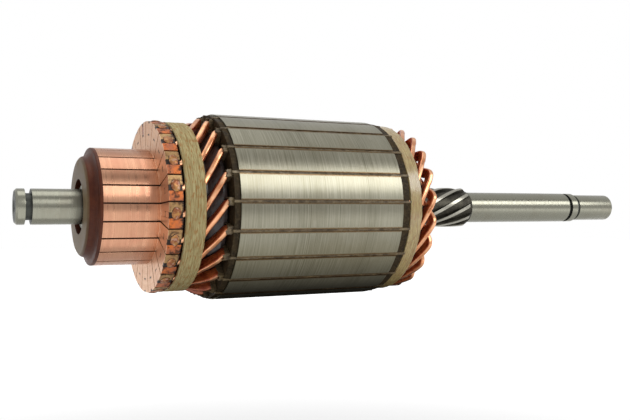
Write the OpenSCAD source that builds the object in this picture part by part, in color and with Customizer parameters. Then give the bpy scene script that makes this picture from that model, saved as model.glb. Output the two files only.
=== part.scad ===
// Wound armature of a starter motor: shaft, laminated core, moulded commutator and a wave winding of
// one hairpin coil for each slot. Lengths in millimetres, angles in degrees.
// The shaft axis is X, from the commutator end to the drive end. The origin is the middle of the
// commutator-end journal.

/* [Shaft] */
// Diameter of the commutator-end journal
journal_d = 14; // [13.5:0.1:14.8]
// Length of the commutator-end journal, from the retaining groove to the shoulder
journal_len = 19.2; // [16:0.2:24]
// Length of the collar outside the commutator-end retaining groove
collar_len = 3.6; // [2.5:0.1:6]
// Width of the commutator-end retaining groove
end_groove_w = 2.4; // [1.5:0.1:3]
// Floor diameter of the commutator-end retaining groove
end_groove_d = 10.4; // [9.4:0.1:11.4]
// Chamfer on the collar's outer edge
collar_chamfer = 0.8; // [0.4:0.1:1.2]
// Diameter of the seat under the commutator
commutator_seat_d = 17.2; // [16.4:0.1:18]
// Diameter of the seat under the core
core_seat_d = 20; // [19.4:0.1:22]
// Length of the core seat in front of the core and its insulating disc
seat_lead = 5; // [3:0.5:7]
// Length of the core seat that runs on past the core, to the spline's run-out neck
seat_run_on = 23; // [18:0.5:26]
// Chamfer on the core seat's end
seat_chamfer = 0.6; // [0.3:0.1:1]
// Length of the run-out neck in front of the spline
neck_len = 3; // [2:0.5:4]
// Depth of the run-out neck below the spline's grooves
neck_undercut = 0.3; // [0.1:0.05:0.5]
// Diameter of the drive-end journal that the pinion slides on
drive_d = 14.7; // [14.3:0.1:15]
// Length of the drive-end journal, from the spline to the stop-ring groove
drive_len = 62.3; // [45:0.5:80]
// Width of the stop-ring groove
stop_groove_w = 1.9; // [1.2:0.1:3]
// Floor diameter of the stop-ring groove
stop_groove_d = 12.6; // [11.6:0.1:13.2]
// Length of the collar behind the stop-ring groove
stop_collar_len = 3.7; // [2.5:0.1:6]
// Width of the grinding relief in front of the tip journal
tip_relief_w = 2.1; // [1:0.1:3]
// Diameter of the grinding relief
tip_relief_d = 12.2; // [11.4:0.1:12.8]
// Chamfer on the stop collar's edge at the relief
relief_chamfer = 0.3; // [0.1:0.05:0.5]
// Diameter of the tip journal
tip_d = 13.2; // [13:0.1:14]
// Length of the tip journal, without its lead-in cone
tip_len = 22.6; // [16:0.2:30]
// Length of the lead-in cone at the drive end
lead_in_len = 2.6; // [1:0.1:4]
// Diameter of the drive end's flat face
lead_in_d = 8.4; // [7:0.1:10]
// Diameter of the centre-drilled holes in both ends
centre_hole_d = 3.2; // [2:0.1:4]
// Depth of the centre-drilled holes
centre_hole_depth = 5; // [3:0.5:8]
// Depth of the holes' conical mouths
centre_cone_depth = 1.6; // [0.8:0.1:2.4]

/* [Helical spline] */
// Number of helical teeth
spline_teeth = 10; // [8:1:12]
// Outer diameter of the spline
spline_d = 19; // [18:0.1:19.3]
// Floor diameter of the spline's grooves
spline_root_d = 15.7; // [15.5:0.1:16.6]
// Length of the spline
spline_len = 34.6; // [24:0.2:44]
// Turn of the teeth for each millimetre of length
spline_twist = 2.95; // [1:0.05:4]
// Angle that one tooth's crest spans
crest_angle = 10; // [7:0.5:13]
// Angle over which each flank leans out to its foot
flank_angle = 1.5; // [0.5:0.5:3]
// Length of the chamfer at the spline's ends
spline_chamfer = 1.7; // [1:0.1:2.5]

/* [Core] */
// Outer diameter of the lamination stack
core_d = 78; // [77.6:0.1:80]
// Length of the lamination stack
core_len = 72.6; // [50:0.2:100]
// Number of slots, commutator bars and coils
slots = 21; // [19:2:23]
// Thickness of the tooth tips that narrow a slot, at their thickest
slot_lip = 1.6; // [1.3:0.1:1.9]
// Width of the slot's mouth
slot_mouth_w = 1.3; // [0.8:0.1:2]
// Length over which a slot closes to its mouth
slot_taper = 0.7; // [0.4:0.1:1]

/* [Insulation] */
// Thickness of the slot liner's paper
liner_t = 0.25; // [0.15:0.01:0.3]
// Clearance of the liner in its slot
liner_gap = 0.05; // [0.02:0.01:0.08]
// Length of the liner's cuff in front of the core
cuff_len = 3.2; // [2.5:0.1:4]
// Length of the liner outside the drive-end insulating disc
liner_run_out = 0.2; // [0.1:0.1:0.6]
// Thickness of the commutator-end insulating disc
comm_disc_t = 2.4; // [1.5:0.1:3]
// Thickness of the drive-end insulating disc
drive_disc_t = 3.6; // [2.5:0.1:4.5]
// Radial step from the core's rim down to the insulating discs
disc_step = 0.6; // [0.2:0.1:0.8]
// Thickness of the paper between the two winding layers
layer_paper_t = 0.3; // [0.15:0.01:0.4]

/* [Winding] */
// Thickness of the conductor, round the armature
wire_t = 2.2; // [1.8:0.1:2.4]
// Depth of the conductor, along the radius
wire_w = 4.4; // [4:0.1:4.8]
// Chamfer on the conductor's outer edges
wire_chamfer = 0.55; // [0.3:0.05:0.8]
// Distance from the commutator-end band to where the outer layer starts to rise
rise_gap = 1.7; // [1:0.1:2.5]
// Length over which the outer layer rises to its radius in the slots
rise_len = 5.2; // [4.5:0.1:7]
// Distance from where the outer layer has risen to the liners' cuffs
rise_to_cuff = 2.2; // [2:0.1:3]
// Length of the drive-end turns outside the core
drive_end_len = 21; // [19:0.2:24]
// Axial length of the rounded tip of a hairpin
nose_reach = 1.8; // [1.4:0.1:2.2]
// Path length each side of a hairpin's tip in which it changes layer
nose_path = 6.5; // [5:0.1:7]

/* [Binding bands] */
// Distance from the risers to the commutator-end band
comm_band_gap = 0.9; // [0.5:0.1:1.5]
// Thickness of the commutator-end band
comm_band_t = 0.7; // [0.4:0.05:1]
// Width of the commutator-end band
comm_band_w = 8.3; // [5:0.1:9]
// Thickness of the drive-end band
drive_band_t = 0.75; // [0.4:0.05:1]
// Width of the drive-end band
drive_band_w = 6; // [4:0.1:7]
// Distance from the drive-end insulating disc to the band
drive_band_gap = 0.8; // [0.4:0.1:1.5]

/* [Commutator] */
// Diameter of the brush track
track_d = 46.8; // [46:0.1:48]
// Length of the brush track
track_len = 21.6; // [16:0.2:24]
// Radial step from the core's rim down to the risers
riser_step = 4.1; // [3.5:0.1:5]
// Length of the risers along the shaft
riser_len = 5.6; // [4:0.1:7]
// Height of the risers over the conductors' ends
riser_cover = 0.7; // [0.4:0.1:1]
// Thickness of the mica between two bars
mica_t = 0.6; // [0.4:0.05:0.9]
// Depth of the mica undercut below the copper
undercut = 0.9; // [0.4:0.1:1.2]
// Clearance of a conductor in its riser slot
riser_slot_gap = 0.05; // [0.02:0.01:0.1]
// Depth of the conductors' ends behind the risers' front face
wire_end_inset = 0.05; // [0.02:0.01:0.2]
// Radius at the foot of a bar's anchor
anchor_foot_r = 14.5; // [13.5:0.1:15]
// Radius under a bar's body, over the anchor
bar_under_r = 19.5; // [18.5:0.1:20.5]
// Distance from a bar's ends to the foot of its anchor
anchor_foot_inset = 6; // [5:0.5:7]
// Distance from a bar's ends to the neck of its anchor
anchor_neck_inset = 9; // [8:0.5:10]
// Height of the anchor's neck
anchor_neck_h = 1; // [0.5:0.1:1.5]
// Thickness of the moulding that wraps the bars' under side
moulding_cover = 1; // [0.5:0.1:1.5]
// How far the moulding's nose reaches over the journal
nose_overhang = 1.3; // [0.5:0.1:2.5]
// Diameter of the moulding's nose
nose_d = 40.2; // [38:0.2:42]
// Length of the moulding's nose in front of its flange
nose_len = 3.3; // [2:0.1:5]
// Thickness of the moulding's flange in front of the bars
flange_t = 1.8; // [1:0.1:3]
// Radius of the flange's front edge
flange_round = 0.9; // [0.4:0.1:1]
// Radius of the hollow between nose and flange
nose_fillet = 0.8; // [0.4:0.1:1.2]
// Diameter of the hole in the moulding's nose, and of the steel bush behind it
bush_d = 21.8; // [20.4:0.2:23]
// Depth of the hole in front of the bush
bush_recess = 6; // [3:0.2:8]

/* [Fits] */
// Clearance between pieces that seat on each other
seat_gap = 0.02; // [0:0.01:0.04]
// Clearance of a conductor above and below in its liner
wire_fit = 0.1; // [0.05:0.01:0.2]
// Clearance of a conductor at the sides of its liner
wire_side_gap = 0.2; // [0.1:0.01:0.3]
// Clearance of the conductors on the paper between their layers
layer_gap = 0.15; // [0.05:0.01:0.2]
// Clearance between the liners' ends and the paper between the layers
paper_end_gap = 0.1; // [0.05:0.01:0.2]
// Clearance of the binding bands over the conductors
band_seat_gap = 0.05; // [0.02:0.01:0.1]

/* [Hidden] */
$fn = 96;
// How far a cutting body runs out past the piece that it cuts
cut_lap = 1;
pitch = 360 / slots;
// Angle of the first slot above the horizontal on the -Y side
first_slot = 3.1;
// Angle of the first spline tooth at the spline's start
spline_phase = -14.3;
// Each end turn spans two and a half slot pitches
lead_span = 2.5 * pitch;
coil_throw = 5;

// Radii of the slots, the two winding layers and the risers, all from the core's rim
wire_seat = liner_gap + liner_t + wire_fit;
slot_w = wire_t + 2 * (liner_gap + liner_t + wire_side_gap);
slot_shoulder_r = core_d / 2 - slot_lip;
outer_layer_r = slot_shoulder_r - wire_seat - wire_w / 2;
layer_pitch = wire_w + layer_paper_t + 2 * layer_gap;
slot_floor_r = outer_layer_r - layer_pitch - wire_w / 2 - wire_seat;
riser_r = core_d / 2 - riser_step;
neck_layer_r = riser_r - riser_cover - wire_w / 2;

// Places along the shaft, from left to right
tip_x0 = -journal_len / 2 - end_groove_w - collar_len;
journal_x0 = -journal_len / 2;
journal_x1 = journal_len / 2;
nose_x = journal_x1 - nose_overhang;
bars_x0 = nose_x + nose_len + flange_t;
riser_x0 = bars_x0 + track_len;
riser_x1 = riser_x0 + riser_len;
comm_band_x0 = riser_x1 + comm_band_gap;
rise_x0 = comm_band_x0 + comm_band_w + rise_gap;
rise_x1 = rise_x0 + rise_len;
cuff_x0 = rise_x1 + rise_to_cuff;
core_x0 = cuff_x0 + cuff_len;
core_x1 = core_x0 + core_len;
neck_x = core_x1 + seat_run_on;
spline_x0 = neck_x + neck_len;
spline_x1 = spline_x0 + spline_len;
drive_x1 = spline_x1 + drive_len;
stop_x1 = drive_x1 + stop_groove_w;
relief_x0 = stop_x1 + stop_collar_len;
tip_x1 = relief_x0 + tip_relief_w;
lead_x = tip_x1 + tip_len;
shaft_x1 = lead_x + lead_in_len;
bush_x0 = nose_x + bush_recess;
moulding_x1 = riser_x1;
core_seat_x0 = core_x0 - comm_disc_t - seat_lead;
drive_disc_x1 = core_x1 + drive_disc_t;
liner_x1 = drive_disc_x1 + liner_run_out;

// The winding's profile: where the layers bend, and how far the bends are rounded
bend_half = 0.8;
rise_half = 0.6;
cuff_bend_gap = 0.4;
riser_bend_gap = 0.1;
riser_bend_x = riser_x1 + bend_half + riser_bend_gap;
cuff_bend_x = cuff_x0 - bend_half - cuff_bend_gap;
exit_bend_x = liner_x1 + bend_half;
rise_slope = (outer_layer_r - neck_layer_r) / rise_len;
// The inner layer rises later, so that the layers stay parallel over the slope
rise_shift = layer_pitch * tan(atan(rise_slope) / 2);
tip_centre_x = core_x1 + drive_end_len - wire_t / 2;
apex_x = tip_centre_x + nose_reach / 2;
drive_turn = lead_span / (apex_x - exit_bend_x);
drive_lead = atan(drive_turn * PI / 180 * outer_layer_r);
nose_curve = nose_reach / cos(drive_lead);
nose_tail = (nose_curve + nose_path) / 2;
// Shares of the nose's path before and after the tip over which it changes layer
dive_before = nose_path * 0.4;
dive_after = nose_path * 0.68;
// Depth by which the spline and the shaft's body run into each other
spline_root_lap = 0.1;

function numbered(prefix, n) =
    [for (i = [1:n]) str(prefix, i < 10 ? "0" : "", i)];
BARS = numbered("commutator_bar_", slots);
COILS = numbered("coil_", slots);

// ---- Helpers ----

// A flat outline drawn across the shaft, made solid from x0 to x1
module across(x0, x1) {
    translate([x0, 0, 0])
        rotate([0, 90, 0])
            linear_extrude(height = x1 - x0)
                children();
}

// A profile of points [x, radius], turned round the shaft
module turned(profile) {
    rotate([0, 90, 0])
        rotate_extrude()
            polygon([for (p = profile) [p[1], p[0]]]);
}

// Turns a flat outline so that its first axis points at a given height above -Y
module at_height(angle) {
    rotate(-90 - angle) children();
}

// A point at a radius and a height angle
function around(x, r, angle) = [x, -r * cos(angle), r * sin(angle)];
// 0 before a corner, the distance past it after, with a parabola between
function eased(t, half) = t <= -half ? 0 : t >= half ? t : pow(t + half, 2) / (4 * half);
function eased_slope(t, half) = t <= -half ? 0 : t >= half ? 1 : (t + half) / (2 * half);
function unit(v) = v / norm(v);
function slot_angle(i) = first_slot + i * pitch;
function bar_angle(i) = first_slot + (i + 0.5) * pitch;
function smooth(t) = let (u = min(max(t, 0), 1)) u * u * (3 - 2 * u);

// ---- Shaft ----

// The spline's outline at one end of the length z, with its ends chamfered by a cone
function spline_limit(z) =
    let (from_end = min(z, spline_len - z))
    spline_root_d / 2 + (spline_d - spline_root_d) / 2 * min(from_end / spline_chamfer, 1);
function tooth_points(z) = [
    for (i = [0:spline_teeth - 1])
        let (step = 360 / spline_teeth, a = i * step + spline_twist * z, half = crest_angle / 2)
        let (foot = half + flank_angle, top = spline_limit(z), root = spline_root_d / 2)
        for (p = [[-foot, root], [-half, top], [half, top], [foot, root], [step / 2, root]])
            around(spline_x0 + z, p[1], a + p[0] + spline_phase)
];

module helical_spline() {
    cuts = 14;
    inner = spline_len - 2 * spline_chamfer;
    stations = concat([0], [for (i = [0:cuts]) spline_chamfer + inner * i / cuts], [spline_len]);
    count = 5 * spline_teeth;
    last = len(stations) - 1;
    points = [for (z = stations) each tooth_points(z)];
    sides = [
        for (s = [0:last - 1], i = [0:count - 1])
            let (a = s * count + i, b = s * count + (i + 1) % count, c = a + count, d = b + count)
            for (f = [[a, b, d], [a, d, c]]) f
    ];
    caps = [
        [for (i = [0:count - 1]) count - 1 - i],
        [for (i = [0:count - 1]) last * count + i]
    ];
    polyhedron(points, concat(sides, caps), convexity = 6);
}

module centre_hole(x, direction) {
    cone_h = centre_cone_depth + cut_lap;
    mouth_d = centre_hole_d + 2 * cone_h * tan(30);
    translate([x, 0, 0])
        rotate([0, 90 * direction, 0])
            translate([0, 0, -cut_lap]) {
                cylinder(d = centre_hole_d, h = centre_hole_depth + cut_lap);
                cylinder(d1 = mouth_d, d2 = centre_hole_d, h = cone_h);
            }
}

module armature_shaft() {
    neck_r = spline_root_d / 2 - neck_undercut;
    profile = [
        [tip_x0, 0],
        [tip_x0, journal_d / 2 - collar_chamfer],
        [tip_x0 + collar_chamfer, journal_d / 2],
        [tip_x0 + collar_len, journal_d / 2],
        [tip_x0 + collar_len, end_groove_d / 2],
        [journal_x0, end_groove_d / 2],
        [journal_x0, journal_d / 2],
        [journal_x1, journal_d / 2],
        [journal_x1, commutator_seat_d / 2],
        [core_seat_x0, commutator_seat_d / 2],
        [core_seat_x0, core_seat_d / 2],
        [neck_x - seat_chamfer, core_seat_d / 2],
        [neck_x, core_seat_d / 2 - seat_chamfer],
        [neck_x, neck_r],
        [spline_x0 + spline_root_lap, neck_r],
        [spline_x0 + spline_root_lap, drive_d / 2],
        [drive_x1, drive_d / 2],
        [drive_x1, stop_groove_d / 2],
        [stop_x1, stop_groove_d / 2],
        [stop_x1, drive_d / 2],
        [relief_x0 - relief_chamfer, drive_d / 2],
        [relief_x0, drive_d / 2 - relief_chamfer],
        [relief_x0, tip_relief_d / 2],
        [tip_x1, tip_relief_d / 2],
        [tip_x1, tip_d / 2],
        [lead_x, tip_d / 2],
        [shaft_x1, lead_in_d / 2],
        [shaft_x1, 0]
    ];
    color([0.66, 0.65, 0.60])
        difference() {
            union() {
                turned(profile);
                helical_spline();
            }
            centre_hole(tip_x0, 1);
            centre_hole(shaft_x1, -1);
        }
}

// ---- Core and its insulation ----

module slot_outline() {
    beyond = core_d / 2 + slot_lip;
    half = slot_w / 2;
    mouth = slot_mouth_w / 2;
    polygon([
        [slot_floor_r, -half],
        [slot_shoulder_r, -half],
        [slot_shoulder_r + slot_taper, -mouth],
        [beyond, -mouth],
        [beyond, mouth],
        [slot_shoulder_r + slot_taper, mouth],
        [slot_shoulder_r, half],
        [slot_floor_r, half]
    ]);
}

module slotted_disc(outer_d) {
    difference() {
        circle(d = outer_d);
        circle(d = core_seat_d + 2 * seat_gap);
        for (i = [0:slots - 1])
            at_height(slot_angle(i)) slot_outline();
    }
}

module lamination_core() {
    color([0.62, 0.60, 0.54])
        across(core_x0, core_x1) slotted_disc(core_d);
}

module comm_end_insulating_disc() {
    color([0.24, 0.20, 0.13])
        across(core_x0 - comm_disc_t, core_x0) slotted_disc(core_d - 2 * disc_step);
}

module drive_end_insulating_disc() {
    color([0.20, 0.15, 0.10])
        across(core_x1, drive_disc_x1) slotted_disc(core_d - 2 * disc_step);
}

module slot_liners() {
    floor_r = slot_floor_r + liner_gap;
    top_r = slot_shoulder_r - liner_gap;
    width = slot_w - 2 * liner_gap;
    color([0.55, 0.45, 0.30])
        for (i = [0:slots - 1])
            across(cuff_x0, liner_x1)
                at_height(slot_angle(i))
                    difference() {
                        translate([floor_r, -width / 2])
                            square([top_r - floor_r, width]);
                        translate([floor_r + liner_t, -width / 2 + liner_t])
                            square([top_r - floor_r - 2 * liner_t, width - 2 * liner_t]);
                    }
}

// ---- Winding ----

// Radius of the outer layer's middle, and its slope, at a place along the shaft
function layer_rise(x, shift) =
    rise_slope * (eased(x - rise_x0 - shift, rise_half) - eased(x - rise_x1 - shift, rise_half));
function layer_slope(x, shift) =
    rise_slope * (eased_slope(x - rise_x0 - shift, rise_half) - eased_slope(x - rise_x1 - shift, rise_half));
// Share of the commutator-end turn that lies between the riser and x
function comm_turn(x) =
    (eased(x - riser_bend_x, bend_half) - eased(x - cuff_bend_x, bend_half)) / (cuff_bend_x - riser_bend_x);

// Places that cut the stretch from x0 to x1 into n equal steps, without x1
function steps(x0, x1, n) = [for (k = [0:n - 1]) x0 + (x1 - x0) * k / n];

// One layer's stations [x, radius, angle, slope] from the riser to the core
function comm_end_stations(slot, direction, inward, shift) = [
    for (x = concat(
        [riser_x0 + wire_end_inset, riser_bend_x - bend_half, riser_bend_x],
        steps(riser_bend_x + bend_half, rise_x0 + shift - rise_half, 3),
        [rise_x0 + shift - rise_half],
        steps(rise_x0 + shift + rise_half, cuff_bend_x - bend_half, 2),
        [cuff_bend_x - bend_half, cuff_bend_x, cuff_bend_x + bend_half, core_x0]
    ))
        [x, neck_layer_r - inward + layer_rise(x, shift),
         slot - direction * lead_span * (1 - comm_turn(x)), layer_slope(x, shift)]
];

// One layer's stations from the core to the start of the hairpin's nose
function drive_end_stations(slot, direction, inward) = [
    for (x = concat(
        [exit_bend_x - bend_half, exit_bend_x],
        steps(exit_bend_x + bend_half, apex_x - nose_path * cos(drive_lead), 4)
    ))
        [x, outer_layer_r - inward, slot + direction * drive_turn * eased(x - exit_bend_x, bend_half), 0]
];

// The hairpin's nose: a rounded V that drops from the outer layer to the inner one
function nose_stations(tip) = [
    for (w = concat([-nose_path], steps(-nose_curve, nose_curve, 5), [nose_curve, nose_tail, nose_path]))
        let (t = (w / nose_curve + 1) / 2, turning = abs(w) < nose_curve)
        let (back = turning ? nose_reach * (pow(1 - t, 2) + t * t) : abs(w) * cos(drive_lead))
        [apex_x - back, outer_layer_r - layer_pitch * smooth((w + dive_before) / (dive_before + dive_after)),
         tip + w * sin(drive_lead) / outer_layer_r * 180 / PI, 0]
];

function reversed(list) = [for (i = [len(list) - 1:-1:0]) list[i]];

function coil_stations(i) =
    let (outer_slot = slot_angle(i), inner_slot = slot_angle(i + coil_throw))
    concat(
        comm_end_stations(outer_slot, 1, 0, 0),
        drive_end_stations(outer_slot, 1, 0),
        nose_stations(outer_slot + lead_span),
        reversed(drive_end_stations(inner_slot, -1, layer_pitch)),
        reversed(comm_end_stations(inner_slot, -1, layer_pitch, rise_shift)));

// The conductor's section, with the outer edges chamfered
wire_section = [
    [-wire_t / 2, -wire_w / 2],
    [wire_t / 2, -wire_w / 2],
    [wire_t / 2, wire_w / 2 - wire_chamfer],
    [wire_t / 2 - wire_chamfer, wire_w / 2],
    [-wire_t / 2 + wire_chamfer, wire_w / 2],
    [-wire_t / 2, wire_w / 2 - wire_chamfer]
];

function section_at(path, stations, s) =
    let (last = len(path) - 1)
    let (before = s == 0 ? path[1] - path[0] : path[s] - path[s - 1])
    let (after = s == last ? path[last] - path[last - 1] : path[s + 1] - path[s])
    let (tangent = unit(unit(before) + unit(after)))
    let (outward = around(0, 1, stations[s][2]) - [stations[s][3], 0, 0])
    let (deep = unit(outward - (outward * tangent) * tangent))
    let (flat = cross(tangent, deep))
    [for (p = wire_section) path[s] + p[0] * flat + p[1] * deep];

module coil(i) {
    stations = coil_stations(i);
    path = [for (s = stations) around(s[0], s[1], s[2])];
    last = len(path) - 1;
    count = len(wire_section);
    points = [for (s = [0:last]) each section_at(path, stations, s)];
    sides = [
        for (s = [0:last - 1], j = [0:count - 1])
            let (a = s * count + j, b = s * count + (j + 1) % count, c = a + count, d = b + count)
            for (f = [[a, b, d], [a, d, c]]) f
    ];
    caps = [
        [for (j = [0:count - 1]) count - 1 - j],
        [for (j = [0:count - 1]) last * count + j]
    ];
    color([0.72, 0.38, 0.24])
        polyhedron(points, concat(sides, caps), convexity = 8);
}

// The paper sleeve between the layers follows the middle between them
module comm_end_layer_paper() {
    mid = neck_layer_r - layer_pitch / 2;
    half = layer_paper_t / 2;
    mid_shift = rise_shift / 2;
    x_list = [comm_band_x0, rise_x0 + mid_shift, rise_x1 + mid_shift, cuff_x0 - paper_end_gap];
    r_list = [mid, mid, mid + outer_layer_r - neck_layer_r, mid + outer_layer_r - neck_layer_r];
    color([0.60, 0.50, 0.34])
        turned(concat(
            [for (i = [0:3]) [x_list[i], r_list[i] - half]],
            [for (i = [3:-1:0]) [x_list[i], r_list[i] + half]]
        ));
}

module drive_end_layer_paper() {
    mid = outer_layer_r - layer_pitch / 2;
    half = layer_paper_t / 2;
    x0 = liner_x1 + paper_end_gap;
    x1 = apex_x - nose_path;
    color([0.60, 0.50, 0.34])
        turned([[x0, mid - half], [x1, mid - half], [x1, mid + half], [x0, mid + half]]);
}

module binding_band(x0, width, inner_r, thickness) {
    edge = thickness / 3;
    color([0.72, 0.66, 0.46])
        turned([
            [x0, inner_r],
            [x0 + width, inner_r],
            [x0 + width, inner_r + thickness - edge],
            [x0 + width - edge, inner_r + thickness],
            [x0 + edge, inner_r + thickness],
            [x0, inner_r + thickness - edge]
        ]);
}

module comm_end_binding_band() {
    binding_band(comm_band_x0, comm_band_w, neck_layer_r + wire_w / 2 + band_seat_gap, comm_band_t);
}

module drive_end_binding_band() {
    binding_band(drive_disc_x1 + drive_band_gap, drive_band_w,
                 outer_layer_r + wire_w / 2 + band_seat_gap, drive_band_t);
}

// ---- Commutator ----

// Outline of a bar along the shaft: brush track, riser and a dovetail anchor underneath
function bar_profile(drop) = [
    [bars_x0, bar_under_r],
    [bars_x0, track_d / 2 - drop],
    [riser_x0 + drop, track_d / 2 - drop],
    [riser_x0 + drop, riser_r - drop],
    [riser_x1, riser_r - drop],
    [riser_x1, bar_under_r],
    [riser_x1 - anchor_neck_inset, bar_under_r - anchor_neck_h],
    [riser_x1 - anchor_foot_inset, anchor_foot_r],
    [bars_x0 + anchor_foot_inset, anchor_foot_r],
    [bars_x0 + anchor_neck_inset, bar_under_r - anchor_neck_h]
];

// The space between two mica plates
module bar_wedge(i) {
    half = pitch / 2;
    apex = mica_t / 2 / sin(half);
    reach = 2 * riser_r;
    across(bars_x0 - cut_lap, riser_x1 + cut_lap)
        at_height(bar_angle(i))
            polygon([
                [apex, 0],
                [apex + reach * cos(half), reach * sin(half)],
                [apex + reach * cos(half), -reach * sin(half)]
            ]);
}

module commutator_bar(i) {
    floor_r = neck_layer_r - layer_pitch - wire_w / 2 - riser_slot_gap;
    width = wire_t + 2 * riser_slot_gap;
    color([0.86, 0.60, 0.48])
        difference() {
            intersection() {
                turned(bar_profile(0));
                bar_wedge(i);
            }
            across(riser_x0 - cut_lap, riser_x1 + cut_lap)
                at_height(bar_angle(i))
                    translate([floor_r, -width / 2])
                        square([riser_r, width]);
        }
}

module mica_separators() {
    color([0.25, 0.14, 0.09])
        for (i = [0:slots - 1])
            rotate([-slot_angle(i), 0, 0])
                mica_plate();
}

// One plate of mica, lying along the shaft on the -Y side
module mica_plate() {
    translate([0, 0, -mica_t / 2])
        linear_extrude(height = mica_t)
            polygon([for (p = bar_profile(undercut)) [p[0], -p[1]]]);
}

module commutator_moulding() {
    hole = bush_d / 2;
    flange_r = track_d / 2;
    nose_r = nose_d / 2;
    edge = 0.5;
    arc = 6;
    flange_x = nose_x + nose_len;
    profile = concat(
        [
            [nose_x, hole],
            [nose_x, nose_r - edge],
            [nose_x + edge, nose_r],
            [flange_x - nose_fillet, nose_r]
        ],
        [for (k = [1:arc]) let (a = 90 * k / arc)
            [flange_x - nose_fillet + nose_fillet * sin(a), nose_r + nose_fillet * (1 - cos(a))]],
        [for (k = [0:arc]) let (a = 90 * k / arc)
            [flange_x + flange_round * (1 - cos(a)), flange_r - flange_round + flange_round * sin(a)]],
        [
            [bars_x0, flange_r],
            [bars_x0 + moulding_cover, bar_under_r + moulding_cover],
            [moulding_x1 - moulding_cover, bar_under_r + moulding_cover],
            [moulding_x1, bar_under_r],
            [moulding_x1, hole]
        ]);
    color([0.33, 0.14, 0.09])
        difference() {
            turned(profile);
            turned(bar_profile(0));
        }
}

module commutator_bush() {
    color([0.55, 0.54, 0.50])
        turned([
            [bush_x0, commutator_seat_d / 2 + seat_gap],
            [moulding_x1, commutator_seat_d / 2 + seat_gap],
            [moulding_x1, bush_d / 2],
            [bush_x0, bush_d / 2]
        ]);
}

// ---- Nodes ----

armature_shaft();
lamination_core();
commutator_moulding();
commutator_bush();
mica_separators();
comm_end_insulating_disc();
drive_end_insulating_disc();
slot_liners();
comm_end_layer_paper();
drive_end_layer_paper();
comm_end_binding_band();
drive_end_binding_band();
for (i = [0:slots - 1]) {
    commutator_bar(i);
    coil(i);
}
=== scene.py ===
# %% [markdown]
# # A wound starter armature, finished for its portrait
# The rotor of a small starter motor: a ground steel shaft, a stack of thin steel sheets with 21
# slots, copper hairpins lying in the slots, a moulded commutator on one end and bands of resin and
# glass fibre that hold the copper down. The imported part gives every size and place, so it is loaded
# first and nothing in it is moved.

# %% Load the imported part
import math
import random

import bmesh
import bpy
from mathutils import Matrix, Vector, noise


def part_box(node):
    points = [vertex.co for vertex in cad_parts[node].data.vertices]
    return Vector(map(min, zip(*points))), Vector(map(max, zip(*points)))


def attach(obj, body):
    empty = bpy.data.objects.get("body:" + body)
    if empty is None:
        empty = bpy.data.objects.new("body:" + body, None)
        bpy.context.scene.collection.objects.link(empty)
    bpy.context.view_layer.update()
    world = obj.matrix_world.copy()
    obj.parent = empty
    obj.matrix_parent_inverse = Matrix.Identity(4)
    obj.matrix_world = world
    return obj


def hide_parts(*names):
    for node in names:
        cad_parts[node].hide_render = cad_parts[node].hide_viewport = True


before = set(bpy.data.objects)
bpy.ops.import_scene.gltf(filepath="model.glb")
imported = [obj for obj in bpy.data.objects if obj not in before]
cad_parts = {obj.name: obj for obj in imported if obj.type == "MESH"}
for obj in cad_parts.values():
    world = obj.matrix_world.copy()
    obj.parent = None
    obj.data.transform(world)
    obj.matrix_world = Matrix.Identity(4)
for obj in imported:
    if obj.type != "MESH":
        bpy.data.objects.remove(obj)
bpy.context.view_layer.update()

# %% [markdown]
# ## Places along the shaft
# The shaft lies along X, and everything on it is round or repeated round it. So a point is best said
# as a place along the shaft, a radius and a height angle above the side that faces the camera (-Y).
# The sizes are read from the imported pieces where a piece's box gives them, in millimetres.

# %% Sizes in millimetres
MM = 0.001


def along(node):
    """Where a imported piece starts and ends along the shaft, in millimetres."""
    low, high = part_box(node)
    return low.x / MM, high.x / MM


def rim(node):
    """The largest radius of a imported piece, in millimetres."""
    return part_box(node)[1].z / MM


CORE_X0, CORE_X1 = along("lamination_core")
CORE_R = rim("lamination_core")
COMM_DISC_X0 = along("comm_end_insulating_disc")[0]
DRIVE_DISC_X1 = along("drive_end_insulating_disc")[1]
LINER_X0, LINER_X1 = along("slot_liners")
BAND_X0, BAND_X1 = along("comm_end_binding_band")
DRIVE_BAND_X0, DRIVE_BAND_X1 = along("drive_end_binding_band")
MOULDING_X0, RISER_X1 = along("commutator_moulding")
BAR_X0 = along("commutator_bar_01")[0]
TRACK_R = 23.4
RISER_R = 34.9
RISER_X0 = RISER_X1 - 5.6
SLOTS = 21
PITCH = 360 / SLOTS
FIRST_SLOT = 3.1
print("core", CORE_X0, CORE_X1, CORE_R, "bands", BAND_X0, BAND_X1, DRIVE_BAND_X0, DRIVE_BAND_X1)
print("bars from", BAR_X0, "risers", RISER_X0, RISER_X1, "liners", LINER_X0, LINER_X1)


def around(x, r, angle):
    """The point at x and radius r, in millimetres, at a height angle in degrees above -Y."""
    a = math.radians(angle)
    return Vector((x, -r * math.cos(a), r * math.sin(a))) * MM


def slot_angle(i):
    return FIRST_SLOT + i * PITCH


def bar_angle(i):
    return FIRST_SLOT + (i + 0.5) * PITCH


# %% [markdown]
# ## Making a piece
# Every new piece ends the same way: its doubles are merged, its faces are turned outwards, edges
# sharper than a set angle stay crisp, and it is fixed to the body that carries it.

# %% Helpers that finish a mesh
def keep(bm, name):
    """Stores a bmesh as a mesh and frees it."""
    mesh = bpy.data.meshes.new(name)
    bm.to_mesh(mesh)
    bm.free()
    return mesh


def pour(mesh, bm):
    """Adds a stored mesh to a bmesh and removes the mesh."""
    bm.from_mesh(mesh)
    bpy.data.meshes.remove(mesh)


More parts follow.
